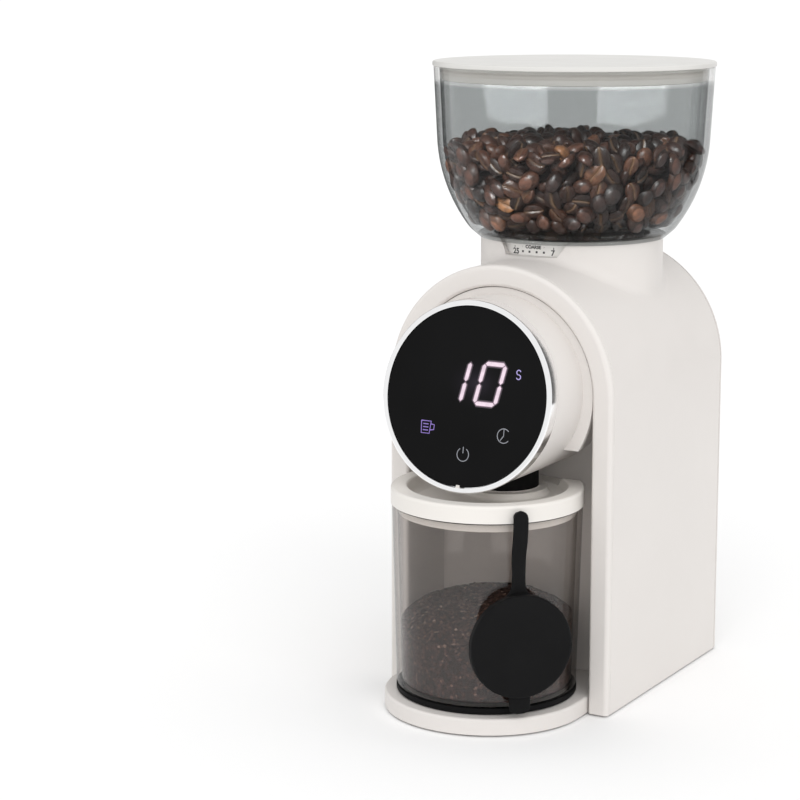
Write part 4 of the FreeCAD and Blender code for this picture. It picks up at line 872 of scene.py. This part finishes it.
# ---------------------------------------------------------------- ground coffee
def mound_top(x, y):
    """Height in mm of the ground coffee, a soft heap under the chute."""
    r = math.hypot(x, y - 6)
    near = noise.noise(Vector((x, y, 3)) * 0.05) * 1.6 + noise.noise(Vector((x, y, 9)) * 0.35) * 0.7
    return 52.8 - 10.5 * min(r / 42, 1.2) ** 3 + near


def make_grounds():
    """Ground coffee in the jar: a granular heap with loose grains on it."""
    floor = JAR_FOOT / MM + 1.1
    mesh = bmesh.new()
    rings = []
    turns = 200
    for height_share in [0, 0.004, 0.012, 0.028, *[k / 26 for k in range(1, 27)]]:
        ring = []
        for k in range(turns):
            t = math.tau * k / turns
            top = mound_top(39.7 * math.cos(t), 39.7 * math.sin(t))
            height = floor + (top - floor) * height_share
            wall = 39.72 + 2.3 * (height - floor) / 85.5
            crumb = noise.noise(Vector((math.cos(t) * 40, math.sin(t) * 40, height)) * 0.9)
            radius = min(wall, 39.2 + height_share * 0.2 + 10) - 0.25 - 0.35 * max(crumb, 0)
            rise = max(0.0, 2.0 - (height - floor))
            radius -= 2.0 - math.sqrt(4.0 - rise * rise)
            ring.append(mesh.verts.new((radius * math.cos(t) * MM, JAR_Y + radius * math.sin(t) * MM,
                                        height * MM)))
        rings.append(ring)
    for share in [0.975 - 0.025 * k for k in range(39)]:
        ring = []
        for k in range(turns):
            t = math.tau * k / turns
            x, y = 39.6 * share * math.cos(t), 39.6 * share * math.sin(t)
            height = mound_top(x, y) + 0.35 * noise.noise(Vector((x, y, 0)) * 1.1)
            ring.append(mesh.verts.new((x * MM, JAR_Y + y * MM, height * MM)))
        rings.append(ring)
    for low, high in zip(rings, rings[1:]):
        bridge(mesh, low, high)
    mesh.faces.new(list(reversed(rings[0])))
    mesh.faces.new(rings[-1])
    rng = np.random.default_rng(5)
    for _ in range(2600):
        t, share, size, high = rng.uniform(0, 1, 4)
        reach = 38.9 * math.sqrt(share)
        x, y = reach * math.cos(t * math.tau), reach * math.sin(t * math.tau)
        add_grain(mesh, rng, x, y, mound_top(x, y) + 0.25 * high, 0.35 + 0.45 * size ** 2)
    piece("ground_coffee", mesh, GROUNDS, "jar")


def add_grain(mesh, rng, x, y, z, size):
    """One crumb: a squashed, uneven octahedron."""
    tips = []
    for axis in ((1, 0, 0), (0, 1, 0), (-1, 0, 0), (0, -1, 0), (0, 0, 0.8), (0, 0, -0.8)):
        reach = size * (0.6 + 0.6 * rng.uniform())
        place = Vector((x, y, z)) + Vector(axis) * reach
        tips.append(mesh.verts.new((place.x * MM, JAR_Y + place.y * MM, place.z * MM)))
    for k in range(4):
        mesh.faces.new((tips[k], tips[(k + 1) % 4], tips[4]))
        mesh.faces.new((tips[(k + 1) % 4], tips[k], tips[5]))


# ---------------------------------------------------------------- studio
def make_camera():
    """The photograph's viewing angle: from the front right, a little above the lid."""
    data = bpy.data.cameras.new("camera")
    data.sensor_width = 36
    data.lens = 103.9
    data.shift_y = -0.05
    data.clip_end = 200
    made = bpy.data.objects.new("camera", data)
    turn = Matrix.Rotation(0.5318, 4, "Z") @ Matrix.Rotation(math.pi / 2 - 0.1735, 4, "X")
    made.matrix_world = Matrix.Translation((0.4978, -0.9770, 0.350)) @ turn
    bpy.context.scene.collection.objects.link(made)
    bpy.context.scene.camera = made


def aim(made, place, target):
    made.location = place
    made.rotation_mode = "QUATERNION"
    made.rotation_quaternion = (Vector(target) - Vector(place)).to_track_quat("-Z", "Y")
    bpy.context.scene.collection.objects.link(made)
    return made


def round_about(azimuth, distance, height):
    """Place round the object; azimuth in degrees from the front towards +X."""
    t = math.radians(azimuth)
    return Vector((distance * math.sin(t), -distance * math.cos(t), height))


def softbox(name, azimuth, width, radiance):
    """Low panel that only shows in glossy faces, such as the hopper's wall."""
    data = bpy.data.lights.new(name, "AREA")
    data.shape = "RECTANGLE"
    data.size, data.size_y = width, 0.09
    data.energy = radiance * math.pi * data.size * data.size_y
    place = round_about(azimuth, 0.7, 0.325)
    made = aim(bpy.data.objects.new(name, data), place, (0, 0, place.z))
    made.visible_camera = False
    made.visible_diffuse = False
    made.light_linking.receiver_collection = lit_group(name, ["bean_hopper"])


def lit_group(name, pieces):
    """Collection of the pieces that a lamp lights."""
    group = bpy.data.collections.new(name + "_lights")
    for piece_name in pieces:
        group.objects.link(bpy.data.objects[piece_name])
    return group


def flag(name, azimuth, width):
    """Grey card that only shows in glossy faces, for dark lines down the sides of bright ones."""
    mesh = bmesh.new()
    half = width / 2
    corners = [(-half, -0.3), (half, -0.3), (half, 0.5), (-half, 0.5)]
    mesh.faces.new([mesh.verts.new((x, z, 0)) for x, z in corners])
    data = bpy.data.meshes.new(name)
    mesh.to_mesh(data)
    mesh.free()
    material, tree = new_tree(name)
    colour = ramp(tree, grain(tree, 6, 2), tones((0.10, 0.10, 0.10), 0.1))
    finish_tree(tree, put(tree, "BsdfDiffuse", {"Color": colour}).outputs["BSDF"])
    data.materials.append(material)
    place = round_about(azimuth, 0.8, 0.2)
    made = aim(bpy.data.objects.new(name, data), place, (0, 0, place.z))
    made.visible_camera = False
    made.visible_diffuse = False
    made.visible_shadow = False
    made.visible_transmission = False


def light_coffee():
    """A harder lamp that only the coffee receives, so that each bean has a lit and a dark side."""
    lamp = bpy.data.lights.new("coffee_lamp", "SUN")
    lamp.energy = 8.0
    lamp.angle = math.radians(20)
    made = aim(bpy.data.objects.new("coffee_lamp", lamp), (0.15, -1.5, 0.95), (0, 0, 0.1))
    pieces = ["coffee_beans", "shaded_bean_core"]
    made.light_linking.receiver_collection = lit_group("coffee_lamp", pieces)


def make_studio():
    """Pale floor, even sky, a very soft key from the right and grey cards that show in gloss."""
    scene = bpy.context.scene
    scene.view_settings.view_transform = "Standard"
    world = bpy.data.worlds.new("studio")
    scene.world = world
    world.use_nodes = True
    tree = world.node_tree
    seen = put(tree, "LightPath").outputs["Is Camera Ray"]
    even = tree.nodes["Background"]
    even.inputs["Color"].default_value = (1, 1, 1, 1)
    tree.links.new(spread(tree, seen, 0.90, 1.0, 0.0, 1.0), even.inputs["Strength"])
    sun = bpy.data.lights.new("key", "SUN")
    sun.energy = 1.10
    sun.angle = math.radians(60)
    key = aim(bpy.data.objects.new("key", sun), (1.0, -1.4, 1.6), (0, 0, 0.1))
    key.visible_glossy = False
    flag("flag_left", -125, 0.55)
    flag("flag_right", 150, 0.40)
    mesh = bmesh.new()
    bmesh.ops.create_circle(mesh, cap_ends=True, segments=96, radius=60)
    data = bpy.data.meshes.new("floor")
    mesh.to_mesh(data)
    mesh.free()
    material, tree = new_tree("floor")
    colour = ramp(tree, grain(tree, 1.5, 2), tones((0.93, 0.93, 0.93), 0.004))
    finish_tree(tree, put(tree, "BsdfDiffuse", {"Color": colour}).outputs["BSDF"])
    data.materials.append(material)
    floor = bpy.data.objects.new("floor", data)
    bpy.context.scene.collection.objects.link(floor)


make_camera()
make_studio()
dress_nodes()
make_bezel()
make_glass()
make_digits()
make_icons()
make_hopper()
make_cap()
make_scale()
make_jar()
make_foot_ring()
make_stopper()
make_screws()
make_beans()
make_grounds()
light_coffee()
softbox("panel_left", -31, 1.02, 34)
softbox("panel_right", 84, 0.87, 34)
